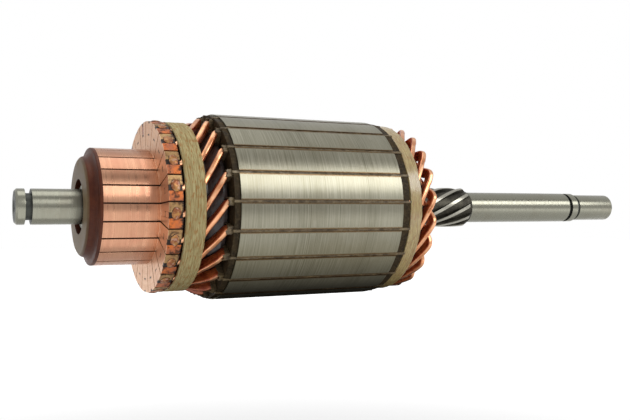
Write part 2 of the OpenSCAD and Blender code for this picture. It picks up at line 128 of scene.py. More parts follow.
def make_piece(name, bm, materials, nodes=(), crease=35):
    """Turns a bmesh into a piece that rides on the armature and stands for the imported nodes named."""
    bmesh.ops.remove_doubles(bm, verts=bm.verts[:], dist=0.002 * MM)
    bmesh.ops.recalc_face_normals(bm, faces=bm.faces[:])
    mesh = keep(bm, name)
    for material in materials:
        mesh.materials.append(material)
    mesh.polygons.foreach_set("use_smooth", [True] * len(mesh.polygons))
    mesh.set_sharp_from_angle(angle=math.radians(crease))
    piece = bpy.data.objects.new(name, mesh)
    bpy.context.scene.collection.objects.link(piece)
    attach(piece, "root")
    if nodes:
        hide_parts(*nodes)
    triangles = sum(len(p.vertices) - 2 for p in mesh.polygons)
    print(f"{name}: {triangles} triangles")
    return piece


def chain(bm, points, closed=False):
    """A chain of edges through points [x, radius] in millimetres, drawn above the shaft."""
    verts = [bm.verts.new((x * MM, 0, r * MM)) for x, r in points]
    pairs = list(zip(verts, verts[1:])) + ([(verts[-1], verts[0])] if closed else [])
    for pair in pairs:
        bm.edges.new(pair)
    return verts


def soften(bm, verts, radius, segments=3):
    """Rounds the corners of a chain."""
    bmesh.ops.bevel(bm, geom=verts, offset=radius * MM, offset_type="OFFSET", segments=segments,
                    profile=0.5, affect="VERTICES", material=-1)


def sweep(bm, geom, degrees, steps, rise=0.0, merge=False):
    """Spins what is drawn round the shaft, moving it along by rise at each step, in millimetres."""
    bmesh.ops.spin(bm, geom=geom, cent=(0, 0, 0), axis=(math.copysign(1, degrees), 0, 0), dvec=(rise * MM, 0, 0),
                   angle=math.radians(abs(degrees)), steps=steps, use_merge=merge, use_normal_flip=False,
                   use_duplicate=False)


def turn(bm, steps):
    """Turns all that is drawn so far once round the shaft."""
    sweep(bm, bm.verts[:] + bm.edges[:], 360, steps, merge=True)


def revolve(bm, verts, degrees):
    """Turns points round the shaft: a positive turn lowers their height angle."""
    bmesh.ops.rotate(bm, cent=(0, 0, 0), verts=verts, matrix=Matrix.Rotation(math.radians(degrees), 3, "X"))


def block(bm, x0, x1, low, high, width):
    """A block along the shaft at height angle 0, from radius low to high, in millimetres."""
    made = bmesh.ops.create_cube(bm, size=1)["verts"]
    bmesh.ops.scale(bm, vec=((x1 - x0) * MM, (high - low) * MM, width * MM), verts=made)
    bmesh.ops.translate(bm, vec=((x0 + x1) / 2 * MM, -(low + high) / 2 * MM, 0), verts=made)
    return made


def cut_across(bm, spot, normal):
    """Cuts every face along a plane, with its spot in millimetres."""
    bmesh.ops.bisect_plane(bm, geom=bm.verts[:] + bm.edges[:] + bm.faces[:], dist=1e-7,
                           plane_co=Vector(spot) * MM, plane_no=normal)


def reach(edge):
    """How far an edge runs along the shaft, in the mesh's own unit."""
    return abs(edge.verts[0].co.x - edge.verts[1].co.x)


def radius_of(co):
    return math.hypot(co.y, co.z) / MM


def height_of(co):
    """The height angle of a point, in degrees above -Y."""
    return math.degrees(math.atan2(co.z, -co.y))


# %% [markdown]
# ## Building blocks for the finishes
# The finishes are made of shader nodes. Effects that several of them use become node groups: the
# place round the shaft, the fine lines that a lathe or a grinder leaves, and soft patches of stain.

# %% Node helpers
def add(tree, kind, links=None, **settings):
    """Adds a node, sets its options, and gives its inputs a value or a link."""
    made = tree.nodes.new(kind)
    for key, value in settings.items():
        setattr(made, key, value)
    for key, value in (links or {}).items():
        if isinstance(value, bpy.types.NodeSocket):
            tree.links.new(value, made.inputs[key])
        else:
            made.inputs[key].default_value = value
    return made


def maths(tree, operation, *values):
    """A Math node's result."""
    made = add(tree, "ShaderNodeMath", dict(enumerate(values)), operation=operation)
    return made.outputs[0]


def times(tree, value, by):
    """A value times another."""
    return maths(tree, "MULTIPLY", value, by)


def vector_of(tree, x, y, z=0.0):
    """A vector made of three values."""
    return add(tree, "ShaderNodeCombineXYZ", {0: x, 1: y, 2: z}).outputs[0]


def noise_of(tree, at, dimensions="3D", detail=2.0, roughness=0.5):
    """Noise with about one lump in each unit."""
    links = {"W" if dimensions == "1D" else "Vector": at, "Scale": 1.0, "Detail": detail, "Roughness": roughness}
    return add(tree, "ShaderNodeTexNoise", links, noise_dimensions=dimensions).outputs[0]


def fade(tree, value, low, high, to_low=0.0, to_high=1.0):
    """Maps a value from low..high to a soft 0..1 or to the range given."""
    made = add(tree, "ShaderNodeMapRange", {0: value, 1: low, 2: high, 3: to_low, 4: to_high},
               interpolation_type="SMOOTHSTEP")
    return made.outputs[0]


def blend_of(tree, mask, first, second, mode="MIX"):
    """Mixes two colours by a mask."""
    made = tree.nodes.new("ShaderNodeMix")
    made.data_type = "RGBA"
    made.blend_type = mode
    for index, value in ((0, mask), (6, first), (7, second)):
        if isinstance(value, bpy.types.NodeSocket):
            tree.links.new(value, made.inputs[index])
        elif index:
            made.inputs[index].default_value = (*value, 1)
        else:
            made.inputs[index].default_value = value
    return made.outputs[2]


def open_group(name, inputs, outputs):
    """Starts a shader node group with named inputs and outputs."""
    tree = bpy.data.node_groups.new(name, "ShaderNodeTree")
    for label, kind, default in inputs:
        socket = tree.interface.new_socket(label, in_out="INPUT", socket_type=kind)
        if default is not None:
            socket.default_value = default
    for label, kind in outputs:
        tree.interface.new_socket(label, in_out="OUTPUT", socket_type=kind)
    return tree, tree.nodes.new("NodeGroupInput").outputs, tree.nodes.new("NodeGroupOutput").inputs


def place(tree, group, **links):
    """Places a node group in a material, with its inputs given by name, and returns its outputs."""
    made = add(tree, "ShaderNodeGroup", None, node_tree=group)
    for label, value in links.items():
        socket = made.inputs[label.replace("_", " ")]
        if isinstance(value, bpy.types.NodeSocket):
            tree.links.new(value, socket)
        else:
            socket.default_value = value
    return made.outputs


FLOAT = "NodeSocketFloat"
VECTOR = "NodeSocketVector"

# %% Group: place round the shaft
shaft_place, given, gives = open_group(
    "place_round_shaft", [("Vector", VECTOR, None)],
    [("Along", FLOAT), ("Angle", FLOAT), ("Radius", FLOAT), ("Unrolled", VECTOR)])
parts = add(shaft_place, "ShaderNodeSeparateXYZ", {0: given["Vector"]}).outputs
towards = times(shaft_place, parts[1], -1.0)
turned_by = maths(shaft_place, "ARCTAN2", parts[2], towards)
squares = maths(shaft_place, "ADD", maths(shaft_place, "POWER", maths(shaft_place, "ABSOLUTE", parts[1]), 2.0),
                maths(shaft_place, "POWER", maths(shaft_place, "ABSOLUTE", parts[2]), 2.0))
radius_mm = times(shaft_place, maths(shaft_place, "SQRT", squares), 1000.0)
along_mm = times(shaft_place, parts[0], 1000.0)
arc_mm = times(shaft_place, turned_by, radius_mm)
unrolled = vector_of(shaft_place, along_mm, arc_mm, radius_mm)
degrees = times(shaft_place, turned_by, 180 / math.pi)
for label, value in (("Along", along_mm), ("Angle", degrees), ("Radius", radius_mm), ("Unrolled", unrolled)):
    shaft_place.links.new(value, gives[label])

# %% Group: lines left by turning or grinding
turning_lines, given, gives = open_group(
    "turning_lines",
    [("Along", FLOAT, 0.0), ("Angle", FLOAT, 0.0), ("Lines per mm", FLOAT, 3.0), ("Broken", FLOAT, 0.3)],
    [("Lines", FLOAT), ("Broad", FLOAT)])
fine_w = times(turning_lines, given["Along"], given["Lines per mm"])
fine = noise_of(turning_lines, fine_w, "1D", detail=3.0, roughness=0.6)
arc = times(turning_lines, given["Angle"], 0.05)
broken_at = vector_of(turning_lines, fine_w, arc)
broken = noise_of(turning_lines, broken_at, "2D")
both = add(turning_lines, "ShaderNodeMix", {0: given["Broken"], 2: fine, 3: broken}).outputs[0]
broad_w = times(turning_lines, fine_w, 0.12)
broad = noise_of(turning_lines, broad_w, "1D")
turning_lines.links.new(both, gives["Lines"])
turning_lines.links.new(broad, gives["Broad"])

# %% Group: soft patches of stain
patches, given, gives = open_group(
    "patches",
    [("Vector", VECTOR, None), ("Scale", FLOAT, 100.0), ("From", FLOAT, 0.45), ("To", FLOAT, 0.65)],
    [("Mask", FLOAT), ("Grain", FLOAT)])
cloud = add(patches, "ShaderNodeTexNoise", {"Vector": given["Vector"], "Scale": given["Scale"], "Detail": 5.0,
                                            "Roughness": 0.6}).outputs[0]
spread = add(patches, "ShaderNodeMapRange", {0: cloud, 1: given["From"], 2: given["To"]},
             interpolation_type="SMOOTHSTEP").outputs[0]
patches.links.new(spread, gives["Mask"])
patches.links.new(cloud, gives["Grain"])
print("groups", [g.name for g in bpy.data.node_groups])


def patches_on(tree, coords, scale, low, high):
    """Soft patches at a piece's own coordinates: their mask and grain."""
    return place(tree, patches, Vector=coords, Scale=scale, From=low, To=high)


# %% [markdown]
# Each finish starts from a Principled BSDF, and reads the piece's own Object coordinates, so that the
# pattern stays where it is when the part is moved.

# %% Start of a finish
def finish(name, **plain):
    """A new material: its tree, its Principled BSDF, the Object coordinates and the place on the shaft."""
    material = bpy.data.materials.new(name)
    material.use_nodes = True
    tree = material.node_tree
    shader = tree.nodes["Principled BSDF"]
    for label, value in plain.items():
        shader.inputs[label.replace("_", " ")].default_value = value
    coords = tree.nodes.new("ShaderNodeTexCoord").outputs["Object"]
    return material, tree, shader, coords, place(tree, shaft_place, Vector=coords)


def wire_up(tree, shader, **links):
    """Links results to the shader's inputs by name."""
    for label, value in links.items():
        tree.links.new(value, shader.inputs[label.replace("_", " ")])


def relief(tree, shader, height, distance, strength=1.0):
    """A Bump node that lifts the surface by height, over a distance in millimetres."""
    made = add(tree, "ShaderNodeBump", {"Height": height, "Distance": distance * MM, "Strength": strength})
    tree.links.new(made.outputs[0], shader.inputs["Normal"])


def along_shaft(tree, shader, amount):
    """Draws highlights out along the shaft, as the fine marks of turning do."""
    shader.inputs["Anisotropic"].default_value = amount
    axis = add(tree, "ShaderNodeVectorTransform", {0: (1, 0, 0)}, vector_type="VECTOR",
               convert_from="OBJECT", convert_to="WORLD")
    tree.links.new(axis.outputs[0], shader.inputs["Tangent"])


# %% Finish: ground shaft steel
shaft_steel, tree, shader, coords, at = finish("ground_shaft_steel", Metallic=1.0)
lines = place(tree, turning_lines, Along=at["Along"], Angle=at["Angle"], Lines_per_mm=5.0, Broken=0.25)
stain = patches_on(tree, coords, 55.0, 0.5, 0.75)
tone = blend_of(tree, fade(tree, lines["Lines"], 0.3, 0.7), (0.25, 0.247, 0.198), (0.285, 0.281, 0.228))
tone = blend_of(tree, times(tree, stain["Mask"], 0.3), tone, (0.20, 0.165, 0.115))
wire_up(tree, shader, Base_Color=tone,
        Roughness=fade(tree, lines["Broad"], 0.3, 0.7, 0.25, 0.33))
relief(tree, shader, lines["Lines"], 0.01, 0.12)
along_shaft(tree, shader, 0.6)

# %% Finish: steel with painted shade, near-black in the grooves, the centre hole and on the shaft's end face
shade_painted_steel, tree, shader, coords, at = finish("shade_painted_turned_steel", Metallic=1.0)
rings = noise_of(tree, times(tree, at["Radius"], 4.0), "1D")
tone = blend_of(tree, fade(tree, rings, 0.3, 0.7), (0.035, 0.036, 0.033), (0.10, 0.105, 0.095))
wire_up(tree, shader, Base_Color=tone, Roughness=fade(tree, rings, 0.3, 0.7, 0.4, 0.5))
relief(tree, shader, rings, 0.04, 0.5)

# %% Finish: helical spline, with painted shade making it black between its bright crests
spline_steel, tree, shader, coords, at = finish("spline_steel", Metallic=1.0)
grime = patches_on(tree, coords, 260.0, 0.35, 0.65)
# Painted shade: below the crests' radius the grooves are coloured near-black, varied a little by grime.
crest = fade(tree, at["Radius"], 9.0, 9.45)
groove_shade = blend_of(tree, grime["Mask"], (0.035, 0.032, 0.026), (0.075, 0.07, 0.055))
wire_up(tree, shader, Base_Color=blend_of(tree, crest, groove_shade, (0.38, 0.365, 0.31)),
        Roughness=fade(tree, at["Radius"], 9.0, 9.45, 0.5, 0.32))
relief(tree, shader, grime["Grain"], 0.05, 0.4)
print("shaft finishes", shaft_steel.name, shade_painted_steel.name, spline_steel.name)

# %% [markdown]
# ## Shaft
# On the real part the shaft is turned and then ground where bearings and the pinion run, with a small
# edge break at every corner. One half of its outline is drawn, its corners are rounded, and the
# outline is turned once round the axis, which is how the shaft itself was made.

# %% Turned body of the shaft
JOURNAL_R, SEAT_R, CORE_SEAT_R, DRIVE_R, TIP_R = 7.0, 8.6, 10.0, 7.35, 6.6
SPLINE_X0, SPLINE_X1 = 160.7, 194.1
SPLINE_ROOT_R, SPLINE_R = 7.85, 9.5
TIP_X0, TIP_X1 = along("armature_shaft")
HOLE_R, HOLE_MOUTH_R = 1.6, 2.5
shaft_outline = [
    (TIP_X0 + 5, 0), (TIP_X0 + 5, HOLE_R), (TIP_X0 + 1.6, HOLE_R), (TIP_X0, HOLE_MOUTH_R),
    (TIP_X0, JOURNAL_R - 0.8), (TIP_X0 + 0.8, JOURNAL_R), (-12.0, JOURNAL_R), (-12.0, 5.2),
    (-9.6, 5.2), (-9.6, JOURNAL_R), (9.6, JOURNAL_R), (9.6, SEAT_R), (54.7, SEAT_R),
    (54.7, CORE_SEAT_R), (157.7, CORE_SEAT_R), (157.7, 7.55), (SPLINE_X0 + 0.4, 7.55),
    (SPLINE_X0 + 0.4, DRIVE_R), (257.6, DRIVE_R), (257.6, 6.3), (259.5, 6.3), (259.5, DRIVE_R),
    (263.2, DRIVE_R), (263.2, 6.1), (265.3, 6.1), (265.3, TIP_R), (TIP_X1 - 2.6, TIP_R),
    (TIP_X1, 4.2), (TIP_X1, HOLE_MOUTH_R), (TIP_X1 - 1.6, HOLE_R), (TIP_X1 - 5, HOLE_R), (TIP_X1 - 5, 0)]
bm = bmesh.new()
corners = chain(bm, shaft_outline)
soften(bm, corners[1:-1], 0.12, 2)
turn(bm, 128)
bmesh.ops.remove_doubles(bm, verts=bm.verts[:], dist=0.002 * MM)
for face in bm.faces:
    middle = face.calc_center_median()
    x, r = middle.x / MM, radius_of(middle)
    in_groove = -12.2 < x < -9.4 and r < 6.9 or 257.5 < x < 259.6 and r < 7.2 or 263.1 < x < 265.4 and r < 6.5
    end_face = x < TIP_X0 + 0.05 and r < JOURNAL_R - 0.8 or x < TIP_X0 + 5.1 and r < 2.6
    # Grooves, the centre hole and the journal's end face take the steel with painted shade.
    face.material_index = 1 if in_groove or end_face else 0
print("shaft body", len(bm.faces), "faces")

# %% [markdown]
# The helical spline that drives the pinion is milled: ten teeth that wind round the shaft. A circle
# of vertices is pressed into the outline of the teeth, and a spin that also moves along the axis
# winds it. At both ends the teeth run out in a chamfer.

# %% Helical spline
TEETH = 10
TWIST = 2.95
PHASE = -14.3
CREST_HALF, FOOT_HALF = 5.0, 6.5
RUN_OUT = 2.6


def tooth_radius(angle):
    """Radius of the tooth outline at an angle from a crest's middle."""
    off = abs((angle + 180 / TEETH) % (360 / TEETH) - 180 / TEETH)
    if off <= CREST_HALF:
        return SPLINE_R
    if off >= FOOT_HALF:
        return SPLINE_ROOT_R
    return SPLINE_R + (SPLINE_ROOT_R - SPLINE_R) * (off - CREST_HALF) / (FOOT_HALF - CREST_HALF)


spline_bm = bmesh.new()
tooth_cuts = [-18, -14, -10, -FOOT_HALF, -CREST_HALF, -4, -1.5, 1.5, 4, CREST_HALF, FOOT_HALF, 10, 14]
ring = bmesh.ops.create_circle(spline_bm, segments=TEETH * len(tooth_cuts), radius=SPLINE_R * MM)["verts"]
for k, vert in enumerate(ring):
    tooth, cut = divmod(k, len(tooth_cuts))
    angle = tooth * 360 / TEETH + tooth_cuts[cut]
    vert.co = around(SPLINE_X0, tooth_radius(angle), angle + PHASE)
SPLINE_STEPS = 90
length = SPLINE_X1 - SPLINE_X0
sweep(spline_bm, spline_bm.verts[:] + spline_bm.edges[:], -TWIST * length, SPLINE_STEPS, length / SPLINE_STEPS)
wound = max(v.co.x for v in spline_bm.verts) / MM
for vert in spline_bm.verts:
    x, r = vert.co.x / MM, radius_of(vert.co)
    limit = SPLINE_ROOT_R + (SPLINE_R - SPLINE_ROOT_R) * min(min(x - SPLINE_X0, SPLINE_X1 - x) / RUN_OUT, 1)
    if r > limit:
        scale = max(limit, SPLINE_ROOT_R) / r
        vert.co.y *= scale
        vert.co.z *= scale
bmesh.ops.holes_fill(spline_bm, edges=[e for e in spline_bm.edges if e.is_boundary], sides=0)
bmesh.ops.recalc_face_normals(spline_bm, faces=spline_bm.faces[:])
for face in spline_bm.faces:
    face.material_index = 2
pour(keep(spline_bm, "spline"), bm)
make_piece("shaft_turned", bm, [shaft_steel, shade_painted_steel, spline_steel],
           ["armature_shaft"], crease=20)
print("spline wound to", round(wound, 2))

# %% [markdown]
# ## Laminated core
# The core is a stack of steel sheets about 0.65 mm thick, pressed together and turned to size. Seen
# close, each sheet stands a hair proud or shy of its neighbours, and the slot mouths are ragged for
# the same reason. So the core is made sheet by sheet: one outline, moved on and shifted a little.

# %% Finish: turned core steel
core_steel, tree, shader, coords, at = finish("turned_core_steel", Metallic=1.0)
lines = place(tree, turning_lines, Along=at["Along"], Angle=at["Angle"], Lines_per_mm=1.6, Broken=0.35)
sheets = place(tree, turning_lines, Along=at["Along"], Angle=at["Angle"], Lines_per_mm=0.5, Broken=0.7)
stain = patches_on(tree, coords, 40.0, 0.45, 0.75)
from_slot = maths(tree, "DIVIDE", maths(tree, "ADD", at["Angle"], -FIRST_SLOT), PITCH)
from_slot = maths(tree, "ABSOLUTE", maths(tree, "SUBTRACT", from_slot, maths(tree, "ROUND", from_slot)))
slot_mm = times(tree, from_slot, PITCH * math.pi / 180 * CORE_R)
ragged = times(tree, lines["Lines"], 1.0)
near_slot = fade(tree, maths(tree, "SUBTRACT", slot_mm, ragged), 0.2, 0.75, 1.0, 0.0)
tone = blend_of(tree, fade(tree, lines["Lines"], 0.35, 0.65), (0.205, 0.195, 0.14), (0.315, 0.302, 0.238))
tone = blend_of(tree, fade(tree, sheets["Broad"], 0.35, 0.7, 0.0, 0.5), tone, (0.33, 0.315, 0.245))
tone = blend_of(tree, times(tree, stain["Mask"], 0.3), tone, (0.19, 0.165, 0.105))
tone = blend_of(tree, near_slot, tone, (0.15, 0.095, 0.045))
wire_up(tree, shader, Base_Color=tone, Roughness=fade(tree, lines["Lines"], 0.3, 0.7, 0.29, 0.385))
relief(tree, shader, lines["Lines"], 0.05, 0.35)
along_shaft(tree, shader, 0.3)

# %% Sheets of the core
SHEET_T = 0.65
SLOT_FLOOR_R, SLOT_SHOULDER_R, SLOT_W, MOUTH_W = 27.2, 37.4, 3.2, 1.1
LIP_UNDER_R = 38.1
ARC_CUTS = 6
dice = random.Random(7)


def across_slot(angle, r, offset):
    """A point beside a slot's middle line, as (y, z) in millimetres."""
    a = math.radians(angle)
    return (-r * math.cos(a) + offset * math.sin(a), r * math.sin(a) + offset * math.cos(a))


def slot_outline(bm, x):
    """The closed outline of one sheet: rim, mouths and slots."""
    mouth = math.degrees(math.asin(MOUTH_W / 2 / CORE_R))
    lip = math.sqrt(CORE_R ** 2 - (MOUTH_W / 2) ** 2)
    verts = []
    for i in range(SLOTS):
        angle = slot_angle(i)
        for r, offset in ((lip, -MOUTH_W / 2), (LIP_UNDER_R, -MOUTH_W / 2), (SLOT_SHOULDER_R, -SLOT_W / 2),
                          (SLOT_FLOOR_R, -SLOT_W / 2), (SLOT_FLOOR_R, SLOT_W / 2),
                          (SLOT_SHOULDER_R, SLOT_W / 2), (LIP_UNDER_R, MOUTH_W / 2), (lip, MOUTH_W / 2)):
            verts.append(bm.verts.new(Vector((x, *across_slot(angle, r, offset))) * MM))
        for k in range(1, ARC_CUTS):
            a = angle + mouth + (PITCH - 2 * mouth) * k / ARC_CUTS
            verts.append(bm.verts.new(around(x, CORE_R, a)))
    return [bm.edges.new(pair) for pair in zip(verts, verts[1:] + verts[:1])]


bm = bmesh.new()
outline = slot_outline(bm, CORE_X0)
first_loop = outline
sheets_n = round((CORE_X1 - CORE_X0) / SHEET_T)
step = (CORE_X1 - CORE_X0) / sheets_n
past = (1.0, 0.0)
for _ in range(sheets_n):
    shy, slip = 1.0 - dice.random() * 0.0009, dice.uniform(-0.06, 0.06)
    grown = bmesh.ops.extrude_edge_only(bm, edges=outline)["geom"]
    moved = [g for g in grown if isinstance(g, bmesh.types.BMVert)]
    bmesh.ops.scale(bm, vec=(1, shy / past[0], shy / past[0]), verts=moved)
    revolve(bm, moved, slip - past[1])
    outline = [g for g in grown if isinstance(g, bmesh.types.BMEdge)]
    grown = bmesh.ops.extrude_edge_only(bm, edges=outline)["geom"]
    bmesh.ops.translate(bm, vec=(step * MM, 0, 0), verts=[g for g in grown if isinstance(g, bmesh.types.BMVert)])
    outline = [g for g in grown if isinstance(g, bmesh.types.BMEdge)]
    past = (shy, slip)
for x, loop in ((CORE_X0, first_loop), (CORE_X1, outline)):
    bore = bmesh.ops.create_circle(bm, segments=84, radius=CORE_SEAT_R * MM,
                                   matrix=Matrix.Translation((x * MM, 0, 0)) @ Matrix.Rotation(math.pi / 2, 4, "Y"))
    inner = list({e for v in bore["verts"] for e in v.link_edges})
    bmesh.ops.triangle_fill(bm, use_beauty=True, edges=loop + inner)
make_piece("core_sheets", bm, [core_steel], ["lamination_core"], crease=25)

# %% [markdown]
# ## Commutator
# Twenty-one copper bars stand in a phenolic moulding with mica between them. The brush track and the
# face of the risers were turned after moulding, so they are satin bright, while the rims of the
# risers still show saw marks, solder and heat colours. One bar is modelled with care and turned into
# its 21 places.

# %% Finishes: copper of the bars, mica, phenolic
bar_copper, tree, shader, coords, at = finish("turned_bar_copper", Metallic=1.0)
lines = place(tree, turning_lines, Along=at["Along"], Angle=at["Angle"], Lines_per_mm=4.0, Broken=0.3)
blush = patches_on(tree, coords, 90.0, 0.4, 0.7)
tone = blend_of(tree, fade(tree, lines["Lines"], 0.3, 0.7), (0.50, 0.255, 0.155), (0.60, 0.335, 0.215))
tone = blend_of(tree, times(tree, blush["Mask"], 0.45), tone, (0.47, 0.20, 0.125))
wire_up(tree, shader, Base_Color=tone, Roughness=fade(tree, lines["Broad"], 0.3, 0.7, 0.25, 0.36))
relief(tree, shader, lines["Lines"], 0.03, 0.3)
along_shaft(tree, shader, 0.75)

riser_copper, tree, shader, coords, at = finish("faced_riser_copper", Metallic=1.0)
rings = place(tree, turning_lines, Along=at["Radius"], Angle=at["Angle"], Lines_per_mm=3.0, Broken=0.3)
blush = patches_on(tree, coords, 120.0, 0.4, 0.7)
tone = blend_of(tree, fade(tree, rings["Lines"], 0.3, 0.7), (0.66, 0.40, 0.255), (0.78, 0.52, 0.35))
tone = blend_of(tree, times(tree, blush["Mask"], 0.4), tone, (0.60, 0.33, 0.215))
wire_up(tree, shader, Base_Color=tone, Roughness=fade(tree, rings["Broad"], 0.3, 0.7, 0.36, 0.46))
relief(tree, shader, rings["Lines"], 0.03, 0.4)

rim_copper, tree, shader, coords, at = finish("heated_rim_copper", Metallic=0.55)
heat = patches_on(tree, coords, 260.0, 0.36, 0.62)
soot = patches_on(tree, coords, 480.0, 0.48, 0.64)
bars_on = maths(tree, "DIVIDE", maths(tree, "SUBTRACT", at["Angle"], FIRST_SLOT - 360), PITCH)
bar_turn = maths(tree, "FRACT", bars_on)
upper_half = fade(tree, bar_turn, 0.46, 0.54)
orange = blend_of(tree, heat["Mask"], (0.66, 0.17, 0.035), (0.40, 0.13, 0.06))
tan = blend_of(tree, heat["Mask"], (0.46, 0.29, 0.12), (0.36, 0.19, 0.075))
tone = blend_of(tree, upper_half, orange, tan)
tone = blend_of(tree, times(tree, soot["Mask"], 0.85), tone, (0.05, 0.022, 0.012))
rear = fade(tree, maths(tree, "ADD", at["Along"], times(tree, soot["Grain"], 3.0)), RISER_X1 + 0.7, RISER_X1 + 1.6)
tone = blend_of(tree, rear, tone, (0.04, 0.02, 0.012))
wire_up(tree, shader, Base_Color=tone, Roughness=fade(tree, soot["Grain"], 0.3, 0.7, 0.38, 0.6))
relief(tree, shader, soot["Grain"], 0.15, 0.7)

mica, tree, shader, coords, at = finish("mica_undercut", Roughness=0.7)
flakes = patches_on(tree, coords, 500.0, 0.35, 0.65)
wire_up(tree, shader, Base_Color=blend_of(tree, flakes["Mask"], (0.02, 0.006, 0.003), (0.07, 0.028, 0.014)))

phenolic, tree, shader, coords, at = finish("phenolic_moulding", Coat_Weight=0.05, Coat_Roughness=0.25)
shader.inputs["Specular IOR Level"].default_value = 0.16
mottle = patches_on(tree, coords, 150.0, 0.3, 0.7)
fleck = patches_on(tree, coords, 900.0, 0.5, 0.7)
body = blend_of(tree, mottle["Mask"], (0.085, 0.018, 0.007), (0.15, 0.038, 0.014))
facing = add(tree, "ShaderNodeSeparateXYZ", {0: add(tree, "ShaderNodeNewGeometry").outputs["Normal"]}).outputs[0]
front = fade(tree, facing, -0.97, -0.55, 1.0, 0.0)
front = times(tree, front, fade(tree, at["Along"], MOULDING_X0 + 0.9, MOULDING_X0 + 1.6, 1.0, 0.0))
skin = blend_of(tree, mottle["Mask"], (0.20, 0.13, 0.065), (0.27, 0.19, 0.10))
tone = blend_of(tree, front, body, skin)
tone = blend_of(tree, times(tree, fleck["Mask"], 0.2), tone, (0.13, 0.06, 0.03))
wire_up(tree, shader, Base_Color=tone, Roughness=fade(tree, mottle["Grain"], 0.3, 0.7, 0.38, 0.52))
relief(tree, shader, fleck["Grain"], 0.03, 0.3)

# %% [markdown]
# The moulding was pressed round the bars. What shows of it is its nose: a flat front with a rounded
# rim, flaring into the flange that covers the bar ends. It is turned from its outline like the shaft.

# %% Moulding
NOSE_HOLE_R, UNDER_BARS_R = 10.9, 19.4
moulding_outline = [
    (MOULDING_X0, NOSE_HOLE_R), (MOULDING_X0, 18.5), (MOULDING_X0 + 0.9, 19.7), (MOULDING_X0 + 2.6, 20.2),
    (MOULDING_X0 + 3.6, 21.4), (MOULDING_X0 + 3.9, TRACK_R), (BAR_X0, TRACK_R), (BAR_X0, UNDER_BARS_R),
    (RISER_X1, UNDER_BARS_R), (RISER_X1, NOSE_HOLE_R)]
bm = bmesh.new()
corners = chain(bm, moulding_outline, closed=True)
soften(bm, corners[1:6], 0.45, 4)
turn(bm, 160)
make_piece("moulding_nose", bm, [phenolic], ["commutator_moulding"], crease=40)

# %% One commutator bar, turned into 21 places
BAR_UNDER_R, ANCHOR_R, MICA_T = 19.5, 14.5, 0.6
CONDUCTOR_FLOOR_R, CONDUCTOR_SLOT_W = 24.75, 2.3
bar_outline = [
    (BAR_X0, BAR_UNDER_R), (BAR_X0, TRACK_R), (RISER_X0, TRACK_R), (RISER_X0, RISER_R), (RISER_X1, RISER_R),
    (RISER_X1, BAR_UNDER_R), (RISER_X1 - 9, BAR_UNDER_R - 1), (RISER_X1 - 6, ANCHOR_R),
    (BAR_X0 + 6, ANCHOR_R), (BAR_X0 + 9, BAR_UNDER_R - 1)]


def bar_mesh():
    """One bar round the height angle 0, with its conductor slot and softened edges."""
    bm = bmesh.new()
    chain(bm, bar_outline, closed=True)
    face = bmesh.ops.contextual_create(bm, geom=bm.edges[:])["faces"][0]
    sweep(bm, [face], PITCH, 8)
    revolve(bm, bm.verts[:], 90 - PITCH / 2)
    if sum(v.co.y for v in bm.verts) > 0:
        revolve(bm, bm.verts[:], 180)
    middle = sum(height_of(v.co) for v in bm.verts) / len(bm.verts)
    for vert in bm.verts:
        r = radius_of(vert.co)
        share = (height_of(vert.co) - middle) / (PITCH / 2)
        half = PITCH / 2 - math.degrees(math.asin(MICA_T / 2 / r))
        vert.co = around(vert.co.x / MM, r, share * half)
    bmesh.ops.recalc_face_normals(bm, faces=bm.faces[:])
    half_slot = CONDUCTOR_SLOT_W / 2
    for spot, normal in (((0, 0, half_slot), (0, 0, 1)), ((0, 0, -half_slot), (0, 0, 1)),
                         ((0, -CONDUCTOR_FLOOR_R, 0), (0, 1, 0))):
        cut_across(bm, spot, normal)
    middles = [(f, f.calc_center_median() / MM) for f in bm.faces]
    inside = [f for f, middle in middles if abs(middle.z) < half_slot and -middle.y > CONDUCTOR_FLOOR_R]
    bmesh.ops.delete(bm, geom=inside, context="FACES")
    ends = [e for e in bm.edges if e.is_boundary and reach(e) < 1e-6]
    bmesh.ops.bridge_loops(bm, edges=ends)
    bmesh.ops.remove_doubles(bm, verts=bm.verts[:], dist=1e-6)
    bmesh.ops.recalc_face_normals(bm, faces=bm.faces[:])
    crisp = [e for e in bm.edges if len(e.link_faces) == 2 and e.calc_face_angle() > math.radians(40)
             and min(radius_of(v.co) for v in e.verts) > 20]
    bmesh.ops.bevel(bm, geom=crisp, offset=0.14 * MM, offset_type="OFFSET", segments=2, profile=0.5,
                    affect="EDGES", clamp_overlap=True, material=-1)
    for face in bm.faces:
        middle = face.calc_center_median()
        x, r = middle.x / MM, radius_of(middle)
        on_face = x < RISER_X0 + 0.3 and r > TRACK_R
        on_rim = x > RISER_X0 + 0.06 and r > TRACK_R + 0.6
        face.material_index = 2 if on_rim and not on_face else 1 if on_face else 0
    return bm


pattern = bar_mesh()
print("bar pattern", len(pattern.faces), "faces, open edges", sum(e.is_boundary for e in pattern.edges))
bar_pattern = keep(pattern, "bar_pattern")


def turned_copy(pattern, angle):
    """A bmesh copy of a pattern made at height angle 0, turned to another height angle."""
    bm = bmesh.new()
    bm.from_mesh(pattern)
    revolve(bm, bm.verts[:], -angle)
    return bm


for i in range(SLOTS):
    label = f"{i + 1:02d}"
    bm = turned_copy(bar_pattern, bar_angle(i))
    make_piece("bar_" + label, bm, [bar_copper, riser_copper, rim_copper],
               ["commutator_bar_" + label], crease=20)
bpy.data.meshes.remove(bar_pattern)
